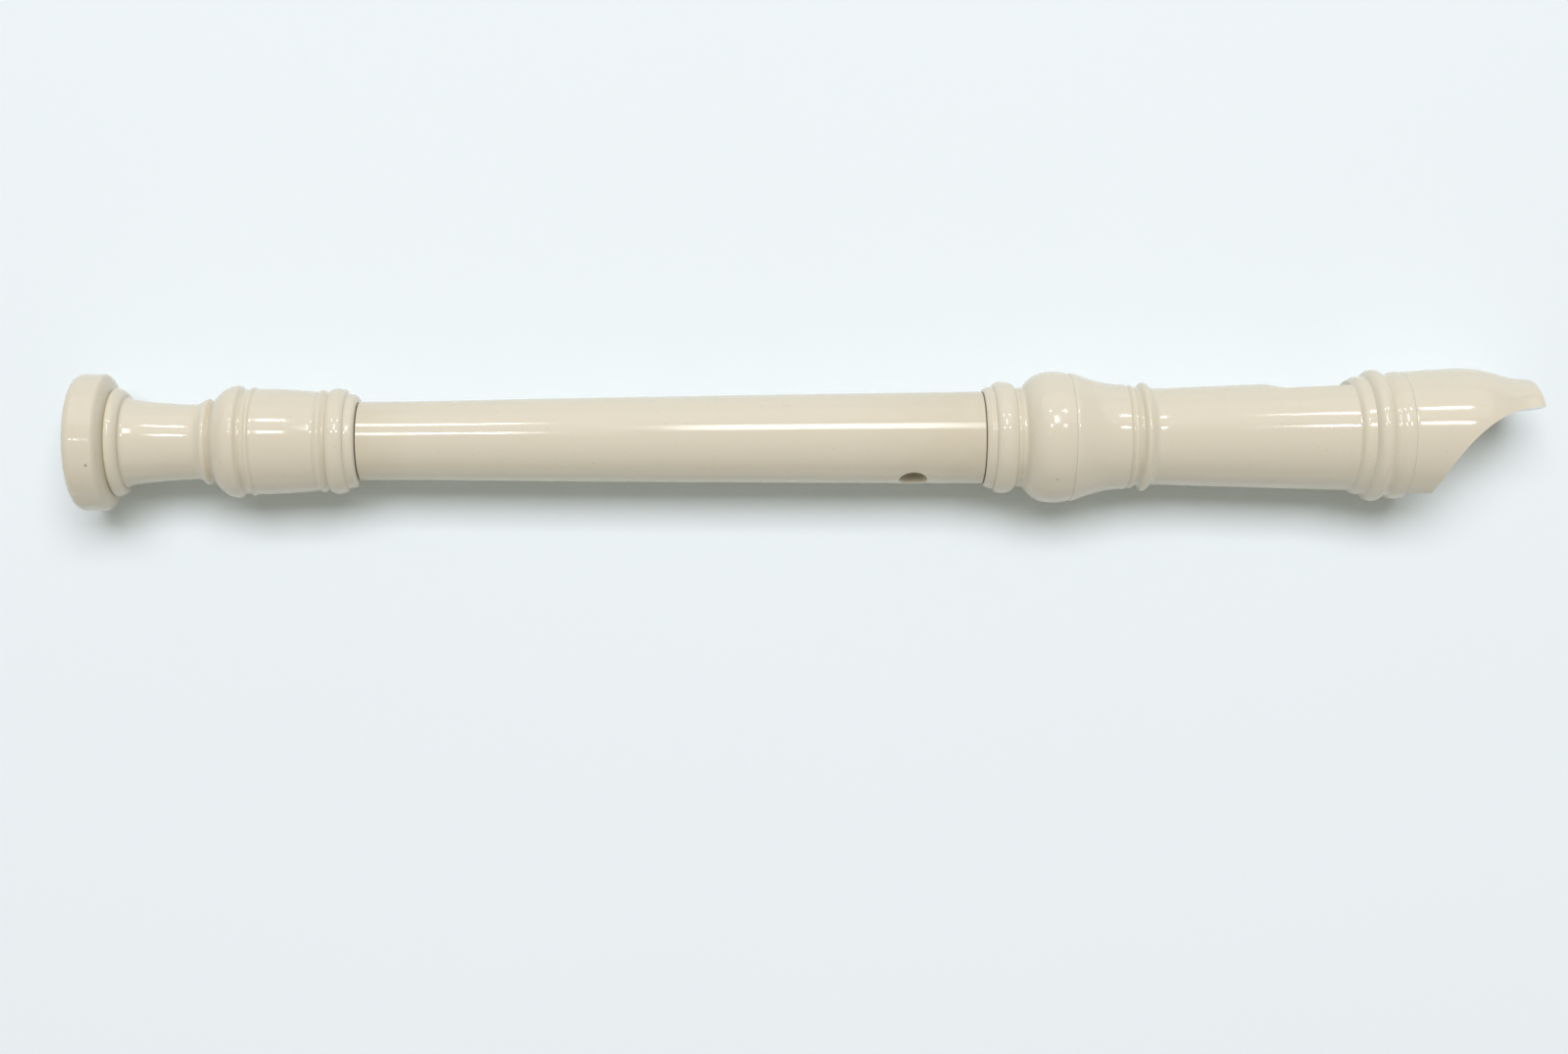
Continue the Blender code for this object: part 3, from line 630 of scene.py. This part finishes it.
def plastic(name, colour, groove_shade_amount, roughness, mark=None):
    """Gloss plastic of one moulding, with a dirty mark where the real one has it."""
    material = bpy.data.materials.new(name)
    material.use_nodes = True
    tree = material.node_tree
    shader = tree.nodes["Principled BSDF"]
    handled = tree.nodes.new("ShaderNodeGroup")
    handled.node_tree = handled_plastic_group()
    handled.inputs["Plastic"].default_value = colour
    # Colour and amount of the painted shade in the grooves
    handled.inputs["Groove shade and dirt"].default_value = bpy.context.scene.recorder_finish.groove_shade
    handled.inputs["Groove shade amount"].default_value = groove_shade_amount
    handled.inputs["Clean roughness"].default_value = roughness
    bump = tree.nodes.new("ShaderNodeBump")
    bump.inputs["Strength"].default_value = 0.025
    bump.inputs["Distance"].default_value = 0.0002
    tint = handled.outputs["Colour"]
    if mark:
        tint = marked(tree, tint, mark)
    tree.links.new(tint, shader.inputs["Base Color"])
    tree.links.new(handled.outputs["Roughness"], shader.inputs["Roughness"])
    tree.links.new(handled.outputs["Height"], bump.inputs["Height"])
    tree.links.new(bump.outputs["Normal"], shader.inputs["Normal"])
    shader.inputs["IOR"].default_value = 1.46
    shader.inputs["Subsurface Weight"].default_value = 0.12
    shader.inputs["Subsurface Radius"].default_value = (1.0, 0.7, 0.4)
    shader.inputs["Subsurface Scale"].default_value = 0.0012
    return material


# Foot: outlines of its turned parts from the bell to the mouth, its bore and its paired hole

BELL_BACK = [
    (6.6, BELL_RADIUS - 0.05), (6.95, 15.0), (7.35, 14.5), (7.85, 13.6), (8.25, 12.4), (8.42, 11.75),
]
NECK = [
    (11.25, 10.08), (11.7, 9.82), (12.4, 9.61), (14.0, 9.34), (16.0, 9.1), (18.0, 8.9), (20.2, 8.71),
    (22.0, 8.59), (24.0, 8.49), (25.7, 8.44), (26.7, 8.45), (27.4, 8.6),
]
NECK_BEAD = [(28.1, 8.97), (28.7, 9.4), (29.2, 9.6), (29.6, 9.55), (29.95, 9.3), (30.3, 9.1), (30.65, 9.2)]
BULGE = [
    (31.0, 9.6), (31.6, 10.35), (32.1, 10.85), (32.6, 11.25), (33.1, 11.62), (33.7, 12.0), (34.3, 12.27),
    (35.0, 12.45), (35.7, 12.55), (36.2, 12.52), (36.6, 12.35), (36.95, 12.0), (37.25, 11.75),
]
FOOT_BARREL = [
    (37.6, 11.68), (38.3, 11.7), (38.75, 11.85), (39.15, 12.12), (39.45, 12.12), (39.8, 11.9), (40.1, 11.82),
    (42.0, 11.82), (44.0, 11.78), (47.5, 11.62), (50.0, 11.45), (52.3, 11.24), (53.6, 11.13), (54.2, 11.28),
    (54.7, 11.48), (55.0, 11.47), (55.4, 11.2), (55.8, 10.98), (56.2, 10.97),
]
FOOT_LIP = [(60.4, 10.75), (60.8, 10.6), (61.4, 10.5), (61.9, 10.38), (62.3, 10.1), (62.6, 9.6)]
FOOT_INSIDE = [(62.6, 7.95), (62.1, 7.45), (46.4, 7.45), (46.4, 5.3), (3.2, 5.1), (0.35, 9.35), (0.0, 9.75)]
FOOT_HOLES = [(43.2, 1.75, -2.25), (43.2, 1.4, 2.25)]
FOOT_TAPER = [(42.2, 11.8), (44.2, 11.78)]
FOOT_RIM_SHARE = 0.7
# Grooves of the foot that get painted shade, as (station, reach, strength)
FOOT_CREASES = [
    (8.4, 1.4, 0.35), (7.6, 1.5, 0.2), (11.25, 0.9, 0.25), (30.3, 1.3, 0.45), (37.6, 1.3, 0.35),
    (40.0, 0.7, 0.2), (53.7, 0.7, 0.2), (56.1, 1.1, 0.35), (60.5, 0.8, 0.15),
]


class RECORDER_OT_foot(bpy.types.Operator):
    """Turn the foot joint: bell, neck, bulge, barrel and mouth, with the paired seventh hole"""

    bl_idname = "recorder.foot"
    bl_label = "Foot"

    def execute(self, context):
        shape = context.scene.recorder_shape
        outer = joined(
            reversed(quarter((2.1, BELL_RADIUS), (0.0, 13.3), 12)),
            [(6.5, BELL_RADIUS)],
            curve_through(BELL_BACK),
            bead((8.45, 11.6), (11.2, 10.35), 0.95),
            curve_through(NECK + NECK_BEAD + BULGE + FOOT_BARREL),
            bead((56.3, 11.0), (60.3, 10.85), 0.9, 16),
            curve_through(FOOT_LIP),
        )
        piece = turn("foot_moulding", eased(outer + FOOT_INSIDE, shape.edge_round), shape.facets)
        drill(piece, FOOT_HOLES, FOOT_TAPER, shape.joint_roll, shape.hole_round * FOOT_RIM_SHARE)
        finish = context.scene.recorder_finish
        material = plastic("foot plastic", finish.shell, 1.0, finish.roughness, BELL_MARK)
        finished(piece, FOOT_CREASES, material, "foot_joint", "shell_plastic", "foot")
        return {"FINISHED"}


# Middle joint: its taper, its shoulders, its ridged tenons and its holes, of which the lowest is a pair

MIDDLE_TAPER = [
    (62.8, 8.8), (76.0, 8.87), (92.0, 9.12), (110.0, 9.4), (140.0, 9.78), (170.0, 10.11), (202.6, 10.44),
]
MIDDLE_EDGE_SHARE = 0.6
MIDDLE_START, MIDDLE_END = 62.78, 202.65
LOWER_TENON_END, UPPER_TENON_END = 46.8, 225.0
LOWER_TENON = [
    (LOWER_TENON_END, 6.8), (LOWER_TENON_END + 0.5, 7.3), (49.8, 7.3), (49.8, 7.05), (59.9, 7.05),
    (59.9, 7.3), (61.9, 7.3), (61.9, 7.05),
]
UPPER_TENON = [
    (MIDDLE_END, 8.25), (203.5, 8.25), (203.5, 8.5), (205.5, 8.5), (205.5, 8.25), (222.0, 8.25),
    (222.0, 8.5), (UPPER_TENON_END - 0.5, 8.5), (UPPER_TENON_END, 8.0),
]
MIDDLE_HOLES = [
    (69.7, 1.8, -2.25), (69.7, 1.4, 2.25), (88.5, 2.9, 0.0), (109.0, 2.9, 0.0), (134.0, 3.2, 0.0),
    (155.5, 2.9, 0.0), (176.5, 2.6, 0.0),
]
THUMB_STATION = 186.8


class RECORDER_OT_middle(bpy.types.Operator):
    """Turn the tapered middle joint and drill its finger holes and thumb hole with rounded rims"""

    bl_idname = "recorder.middle"
    bl_label = "Middle joint"

    def execute(self, context):
        shape = context.scene.recorder_shape
        outer = [(MIDDLE_START, 7.05), (MIDDLE_START, 8.66)]
        outer += quarter((MIDDLE_START + 0.15, 8.8), (MIDDLE_START, 8.66), 3)[::-1]
        outer += curve_through(MIDDLE_TAPER[1:-1], 8) + [(MIDDLE_END - 0.15, 10.44), (MIDDLE_END, 10.3)]
        bore = [(UPPER_TENON_END, 6.6), (LOWER_TENON_END, 5.4)]
        outline = joined(LOWER_TENON, outer, UPPER_TENON, bore)
        outline = eased(outline, shape.edge_round * MIDDLE_EDGE_SHARE)
        piece = turn("middle_moulding", outline, shape.facets)
        drill(piece, MIDDLE_HOLES, MIDDLE_TAPER, shape.joint_roll, shape.hole_round)
        thumb = [(THUMB_STATION, shape.thumb_radius, 0.0)]
        drill(piece, thumb, MIDDLE_TAPER, shape.joint_roll, shape.hole_round, back=True)
        # Painted shade at the two shoulders
        creases = [(MIDDLE_START, 0.9, 0.35), (MIDDLE_END, 0.9, 0.35)]
        finish = context.scene.recorder_finish
        material = plastic("middle plastic", finish.shell, 1.0, finish.roughness)
        finished(piece, creases, material, "middle_joint", "shell_plastic", "middle_tube")
        return {"FINISHED"}


# Head: where its mouldings are glued end to end, and where its block, its window and its windway lie

SOCKET_END, BARREL_START = 222.31, 222.33
BARREL_END, BEAK_START = 298.1, 298.12
TIP = 330.0
BORE_RADIUS = 7.0
RAMP_START, LABIUM, WINDOW_END = 266.2, 281.9, 286.0
LABIUM_RADIUS = 7.4
WINDOW_HALF_WIDTH = 5.5
WINDWAY_HALF_WIDTH = 5.2
BLOCK_END, BLOCK_SEAT = 311.7, 311.95
BLOCK_DULLNESS = 0.15

# Head socket: its lip, the lower half of the bulb, and the sleeve inside it
SOCKET_LIP = [(202.8, 10.8), (203.0, 11.0), (203.3, 11.16), (203.6, 11.28)]
BULB = [
    (210.2, 11.2), (211.4, 11.2), (211.8, 11.36), (212.15, 11.8), (212.6, 12.42), (213.1, 12.95),
    (213.8, 13.5), (214.6, 14.0), (215.4, 14.36), (216.3, 14.64), (217.4, 14.82), (218.8, 14.88),
    (220.0, 14.82), (221.1, 14.66), (221.8, 14.53), (222.2, 14.45),
]
SOCKET_INSIDE = [
    (SOCKET_END, 12.9), (214.8, 12.9), (213.6, 12.3), (213.6, 10.1), (228.7, 10.1), (228.7, BORE_RADIUS),
    (225.4, BORE_RADIUS), (225.4, 8.65), (203.3, 8.65), (202.8, 9.15),
]
# Grooves of the socket that get painted shade, as (station, reach, strength)
SOCKET_CREASES = [(204.95, 0.8, 0.12), (210.8, 1.6, 0.3), (202.8, 0.6, 0.2)]


class RECORDER_OT_head_socket(bpy.types.Operator):
    """Turn the head's socket: lip, torus, the lower half of the hollow bulb and the sleeve inside it"""

    bl_idname = "recorder.head_socket"
    bl_label = "Head socket"

    def execute(self, context):
        shape = context.scene.recorder_shape
        outer = joined(
            curve_through(SOCKET_LIP),
            bead((203.65, 11.3), (204.2, 11.42), 0.07, 6),
            bead((204.25, 11.42), (204.9, 11.54), 0.07, 6),
            bead((205.0, 11.52), (209.9, 11.24), 1.26, 18),
            curve_through(BULB),
            [(SOCKET_END, 14.42)],
        )
        outline = eased(joined(outer, SOCKET_INSIDE), shape.edge_round, (SOCKET_END,))
        piece = turn("head_socket_moulding", outline, shape.facets)
        finish = context.scene.recorder_finish
        material = plastic("socket plastic", finish.shell, 1.0, finish.roughness, BULB_MARK)
        finished(piece, SOCKET_CREASES, material, "head_joint", "shell_plastic", "head_socket")
        return {"FINISHED"}


# Head barrel: the upper half of the bulb, the beads below the barrel, its taper and the rings below the beak
BULB_SHOULDER = [
    (222.4, 14.47), (222.6, 14.5), (223.1, 14.46), (223.8, 14.26), (224.6, 13.99), (225.4, 13.72),
    (226.2, 13.44), (227.0, 13.16), (228.0, 12.87), (229.0, 12.61), (230.4, 12.3), (231.5, 12.12),
    (232.3, 12.03), (233.0, 11.975), (233.8, 11.935), (234.6, 11.91), (234.95, 11.86), (235.2, 11.73),
]
BARREL_BEADS = [
    (235.4, 11.53), (235.65, 11.55), (236.0, 11.7), (236.3, 11.72), (236.65, 11.54), (237.0, 11.3),
    (237.5, 11.19), (237.9, 11.27), (238.15, 11.55), (238.4, 11.92), (238.7, 12.2), (239.05, 12.31),
    (239.4, 12.24), (239.8, 12.02), (240.2, 11.7), (240.6, 11.38), (241.0, 11.14), (241.4, 11.03),
    (241.9, 11.0), (242.8, 10.98),
]
TOP_STEP = [(286.4, 12.56), (286.75, 12.86), (287.15, 13.16), (287.6, 13.35), (288.1, 13.4)]
TOP_RINGS = [
    (289.55, 13.5), (289.75, 13.78), (290.05, 14.2), (290.45, 14.58), (290.95, 14.85), (291.6, 14.97),
    (292.25, 14.9), (292.85, 14.68), (293.3, 14.36), (293.65, 14.05), (294.0, 13.9), (294.5, 13.88),
    (294.9, 13.97), (295.3, 14.15), (295.8, 14.34), (296.4, 14.46), (297.1, 14.5), (298.05, 14.45),
]
BARREL_INSIDE = [
    (BARREL_END, 14.42), (BARREL_END, 7.28), (WINDOW_END, BORE_RADIUS), (228.95, BORE_RADIUS),
    (228.95, 10.4), (225.55, 10.4), (225.55, 11.65), (BARREL_START, 12.9),
]
# Grooves of the barrel that get painted shade, as (station, reach, strength)
BARREL_CREASES = [
    (235.4, 0.9, 0.3), (237.5, 1.2, 0.35), (286.4, 0.8, 0.2), (289.55, 0.8, 0.12), (294.25, 1.0, 0.2),
]

# Stations on the barrel's straight taper, close together only where it ends, so that it shades evenly
TAPER_STATIONS = (243.4, 243.8, 250.0, 260.0, 270.0, 280.0, 285.9, 286.3)
TAPER_START, TAPER_LENGTH = 243.4, 42.9
TAPER_RADII = (10.98, 12.52)

RAMP = [(RAMP_START, 11.84), (267.3, 11.76), (268.5, 11.6), (271.0, 11.16), (273.3, 10.62), (275.5, 9.87)]


def window_cutter(facets):
    """Ramp and window as one turned shape, kept between the window's parallel sides."""
    floor, ceiling = 4.0, 18.0
    outline = curve_through(RAMP) + [(LABIUM, LABIUM_RADIUS), (LABIUM, floor), (WINDOW_END, floor)]
    outline += [(WINDOW_END, ceiling), (RAMP_START, ceiling)]
    ring = turn("window", outline, facets)
    cut(ring, walls(RAMP_START - 1, WINDOW_END + 1, WINDOW_HALF_WIDTH, 3.9, 18.5), "INTERSECT")
    return ring


def windway_cutter(facets):
    """Arched air channel from the tip of the beak to the window, with room for the block below it."""
    floor = 4.0
    roof = [(TIP + 1, 8.5), (TIP + 1, 9.7), (WINDOW_END, 8.2), (WINDOW_END - 1, 8.2)]
    ring = turn("windway", roof + [(WINDOW_END - 1, floor), (BLOCK_SEAT, floor), (BLOCK_SEAT, 7.88)], facets)
    cut(ring, walls(WINDOW_END - 2, TIP + 2, WINDWAY_HALF_WIDTH, 3.9, 12.0), "INTERSECT")
    return ring


class RECORDER_OT_head_barrel(bpy.types.Operator):
    """Turn the head's barrel with its beads and rings, and cut the window, the ramp and the windway"""

    bl_idname = "recorder.head_barrel"
    bl_label = "Head barrel"

    def execute(self, context):
        shape = context.scene.recorder_shape
        taper = []
        for station in TAPER_STATIONS:
            taper.append((station, mix(*TAPER_RADII, (station - TAPER_START) / TAPER_LENGTH)))
        outer = joined(
            [(BARREL_START, 14.43)],
            curve_through(BULB_SHOULDER + BARREL_BEADS),
            taper,
            curve_through(TOP_STEP),
            [(289.5, 13.42)],
            curve_through(TOP_RINGS),
        )
        outline = eased(joined(outer, BARREL_INSIDE), shape.edge_round, (BARREL_START, BARREL_END))
        piece = turn("head_barrel_moulding", outline, shape.facets)
        cut(piece, window_cutter(shape.facets))
        cut(piece, windway_cutter(shape.facets))
        finish = context.scene.recorder_finish
        material = plastic("barrel plastic", finish.shell, 1.0, finish.roughness)
        finished(piece, BARREL_CREASES, material, "head_joint", "shell_plastic", "head_barrel")
        return {"FINISHED"}


# Beak: its crown, its sloping and curved end, and the hollow of its underside
BEAK_CROWN = [
    (298.17, 14.46), (298.6, 14.52), (300.2, 14.62), (302.3, 14.75), (304.7, 14.9), (307.0, 15.04),
    (309.0, 15.14), (311.0, 15.19), (313.0, 15.15), (315.0, 14.98), (316.6, 14.73), (318.2, 14.4),
    (319.6, 14.03), (321.4, 13.48), (322.9, 13.09), (324.6, 12.83), (326.3, 12.66), (327.2, 12.57),
]
BEAK_END = [
    (327.75, 12.48), (328.1, 12.32), (328.4, 12.04), (328.7, 11.62), (329.05, 10.95), (329.4, 10.1),
    (329.72, 9.1), (329.92, 8.1), (TIP, 7.0),
]
UNDERSIDE_CORNERS = ((TIP, 5.65), (320.5, 6.7), (309.0, 1.15), (303.6, -13.3))
TIP_CURVE = 36.0


def underside_cutter():
    """Everything under the beak's hollow underside and the flat behind it."""
    outline = [(TIP + 4, 5.65)] + bezier(UNDERSIDE_CORNERS)
    outline += [(303.2, -13.34), (292.0, -13.34), (292.0, -20.0), (TIP + 4, -20.0)]
    return slab("underside", outline, FRONT, UP)


def tip_cutter():
    """Everything beyond the beak's end, which is curved from side to side."""
    steps = 32
    outline = [(TIP + 6, 16.0)]
    for step in range(steps + 1):
        across = mix(16.0, -16.0, step / steps)
        outline.append((TIP - across ** 2 / (2 * TIP_CURVE), across))
    outline.append((TIP + 6, -16.0))
    return slab("tip", outline, UP, FRONT)


class RECORDER_OT_beak(bpy.types.Operator):
    """Turn the beak, hollow its underside and open the windway"""

    bl_idname = "recorder.beak"
    bl_label = "Beak"

    def execute(self, context):
        shape = context.scene.recorder_shape
        outer = joined([(BEAK_START, 14.42)], curve_through(BEAK_CROWN + BEAK_END), [(TIP, 0.0)])
        inner = [(BLOCK_SEAT, 0.0), (BLOCK_SEAT, 7.6), (BEAK_START, 7.29)]
        piece = turn("beak_moulding", joined(outer, inner), shape.facets)
        cut(piece, underside_cutter())
        cut(piece, tip_cutter())
        cut(piece, windway_cutter(shape.facets))
        finish = context.scene.recorder_finish
        material = plastic("beak plastic", finish.shell, 1.0, finish.roughness)
        finished(piece, [], material, "head_joint", "shell_plastic", "beak")
        return {"FINISHED"}


class RECORDER_OT_block(bpy.types.Operator):
    """Turn the block that fills the head below the windway, cut flush with the beak's underside"""

    bl_idname = "recorder.block"
    bl_label = "Block"

    def execute(self, context):
        shape = context.scene.recorder_shape
        outline = [(WINDOW_END, 0.0), (WINDOW_END, 6.65), (WINDOW_END + 0.2, 6.85)]
        outline += [(BLOCK_END - 0.2, 7.44), (BLOCK_END, 7.25), (BLOCK_END, 0.0)]
        piece = turn("block_moulding", outline, shape.facets, closed=False)
        cut(piece, underside_cutter())
        finish = context.scene.recorder_finish
        material = plastic("block plastic", finish.block, 0.6, finish.roughness + BLOCK_DULLNESS)
        # Painted shade where the block meets the window
        finished(piece, [(WINDOW_END, 0.6, 0.4)], material, "head_joint", "block_plastic", "block")
        return {"FINISHED"}


# Stage: heights and sizes in metres, and stations along the instrument in millimetres

TABLE_SIZE = 24.0
CAMERA_STATION = 140.07
CAMERA_SIDE = -0.01995
CAMERA_ROLL = math.radians(-0.4)
ROOM_LIGHT = (1.0, 0.95, 0.8, 1.0)
ROOM_STRENGTH = 0.315
PANEL_COLOUR = (0.985, 0.975, 1.0)
PANEL_STATIONS = (-1200, 1500)
GLINT_HEIGHT = 1.6
GLINT_WIDTH = 0.08
NEAR_LEAN = math.radians(18.4)
FAR_LEAN = math.radians(45.0)


def lamp_along(name, stations, height, lean, width, radiance, soft=False, colour=(1.0, 1.0, 1.0)):
    """Lamp along the instrument, leaning towards the window's side.

    A soft one lights the instrument, and a hard one only glints on it.
    """
    start, end = stations
    lamp = bpy.data.lights.new(name, "AREA")
    lamp.shape = "RECTANGLE"
    lamp.color = colour
    lamp.size = (end - start) * MM
    lamp.size_y = width
    lamp.energy = radiance * math.pi * lamp.size * width
    thing = bpy.data.objects.new(name, lamp)
    thing.location = (
        FOOT_END + (start + end) / 2 * MM,
        height * math.sin(lean),
        AXIS_Z + height * math.cos(lean),
    )
    thing.rotation_euler = (-lean, 0.0, 0.0)
    thing.visible_glossy = not soft
    thing.visible_diffuse = soft
    bpy.context.scene.collection.objects.link(thing)


def table_material(colour):
    """Pale table that the camera sees nearly white, with the instrument's shadow on it."""
    material = bpy.data.materials.new("table top")
    material.use_nodes = True
    tree = material.node_tree
    shader = tree.nodes["Principled BSDF"]
    shader.inputs["Roughness"].default_value = 0.6
    shader.inputs["Specular IOR Level"].default_value = 0.2
    place = tree.nodes.new("ShaderNodeTexCoord").outputs["Object"]
    ramp = tree.nodes.new("ShaderNodeValToRGB")
    ramp.color_ramp.elements[0].color = [channel * 0.985 for channel in colour[:3]] + [1.0]
    ramp.color_ramp.elements[1].color = colour
    tree.links.new(noise(tree, place, 6.0, 3.0), ramp.inputs["Fac"])
    tree.links.new(ramp.outputs["Color"], shader.inputs["Base Color"])
    return material


class RECORDER_OT_stage(bpy.types.Operator):
    """Lay the table, hang the lamps and aim the camera"""

    bl_idname = "recorder.stage"
    bl_label = "Stage"

    def execute(self, context):
        scene = context.scene
        stage = scene.recorder_stage
        deselect_all()
        bpy.ops.mesh.primitive_plane_add(size=TABLE_SIZE, location=(0.0, 0.0, 0.0))
        table = bpy.context.active_object
        table.name = "table"
        table.data.materials.append(table_material(stage.table))

        scene.world = scene.world or bpy.data.worlds.new("room")
        scene.world.use_nodes = True
        sky = scene.world.node_tree.nodes["Background"]
        sky.inputs["Color"].default_value = ROOM_LIGHT
        sky.inputs["Strength"].default_value = ROOM_STRENGTH

        for side, stations, glow in (("left", (-260, -90), 52.0), ("right", (590, 800), 42.0)):
            lamp_along("near lamp " + side, stations, GLINT_HEIGHT, NEAR_LEAN, GLINT_WIDTH, glow)
            lamp_along("far lamp " + side, stations, GLINT_HEIGHT, FAR_LEAN, GLINT_WIDTH, glow)
        lamp_along("middle lamp", (80, 360), GLINT_HEIGHT, math.radians(28.5), 0.36, 13.0)
        lamp_along("bell lamp", (-460, -420), GLINT_HEIGHT, math.radians(3.0), 0.05, 40.0)
        lamp_along("white wall", PANEL_STATIONS, 1.8, math.radians(56.0), 2.0, 0.9)
        lamp_along("soft panel", PANEL_STATIONS, 3.4, math.radians(21.0), 1.45, 7.5, True, PANEL_COLOUR)

        camera = bpy.data.cameras.new("camera")
        camera.lens = stage.lens
        camera.sensor_width = 36.0
        camera.clip_start = 0.01
        thing = bpy.data.objects.new("camera", camera)
        thing.location = (FOOT_END + CAMERA_STATION * MM, CAMERA_SIDE, AXIS_Z + stage.camera_height)
        tilt = Matrix.Rotation(-stage.camera_tilt, 4, "Y") @ Matrix.Rotation(CAMERA_ROLL, 4, "Z")
        thing.rotation_euler = tilt.to_euler()
        scene.collection.objects.link(thing)
        scene.camera = thing
        scene.view_settings.view_transform = "Standard"
        return {"FINISHED"}


class RECORDER_PT_panel(bpy.types.Panel):
    """Sizes, colours and steps of the recorder"""

    bl_idname = "RECORDER_PT_panel"
    bl_label = "Soprano recorder"
    bl_space_type = "VIEW_3D"
    bl_region_type = "UI"
    bl_category = "Recorder"

    def draw(self, context):
        layout = self.layout
        for title, group in (
            ("Sizes", context.scene.recorder_shape),
            ("Finish", context.scene.recorder_finish),
            ("Stage", context.scene.recorder_stage),
        ):
            box = layout.box()
            box.label(text=title)
            for name in group.__annotations__:
                box.prop(group, name)
        for operator in OPERATORS:
            layout.operator(operator.bl_idname)


OPERATORS = (
    RECORDER_OT_foot,
    RECORDER_OT_middle,
    RECORDER_OT_head_socket,
    RECORDER_OT_head_barrel,
    RECORDER_OT_beak,
    RECORDER_OT_block,
    RECORDER_OT_stage,
)
CLASSES = (RecorderShape, RecorderFinish, RecorderStage) + OPERATORS + (RECORDER_PT_panel,)


def register():
    for cls in CLASSES:
        bpy.utils.register_class(cls)
    bpy.types.Scene.recorder_shape = bpy.props.PointerProperty(type=RecorderShape)
    bpy.types.Scene.recorder_finish = bpy.props.PointerProperty(type=RecorderFinish)
    bpy.types.Scene.recorder_stage = bpy.props.PointerProperty(type=RecorderStage)


def unregister():
    del bpy.types.Scene.recorder_stage
    del bpy.types.Scene.recorder_finish
    del bpy.types.Scene.recorder_shape
    for cls in reversed(CLASSES):
        bpy.utils.unregister_class(cls)


def main():
    """Model each moulding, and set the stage."""
    register()
    bpy.ops.recorder.foot()
    bpy.ops.recorder.middle()
    bpy.ops.recorder.head_socket()
    bpy.ops.recorder.head_barrel()
    bpy.ops.recorder.beak()
    bpy.ops.recorder.block()
    bpy.ops.recorder.stage()


if __name__ == "__main__":
    main()
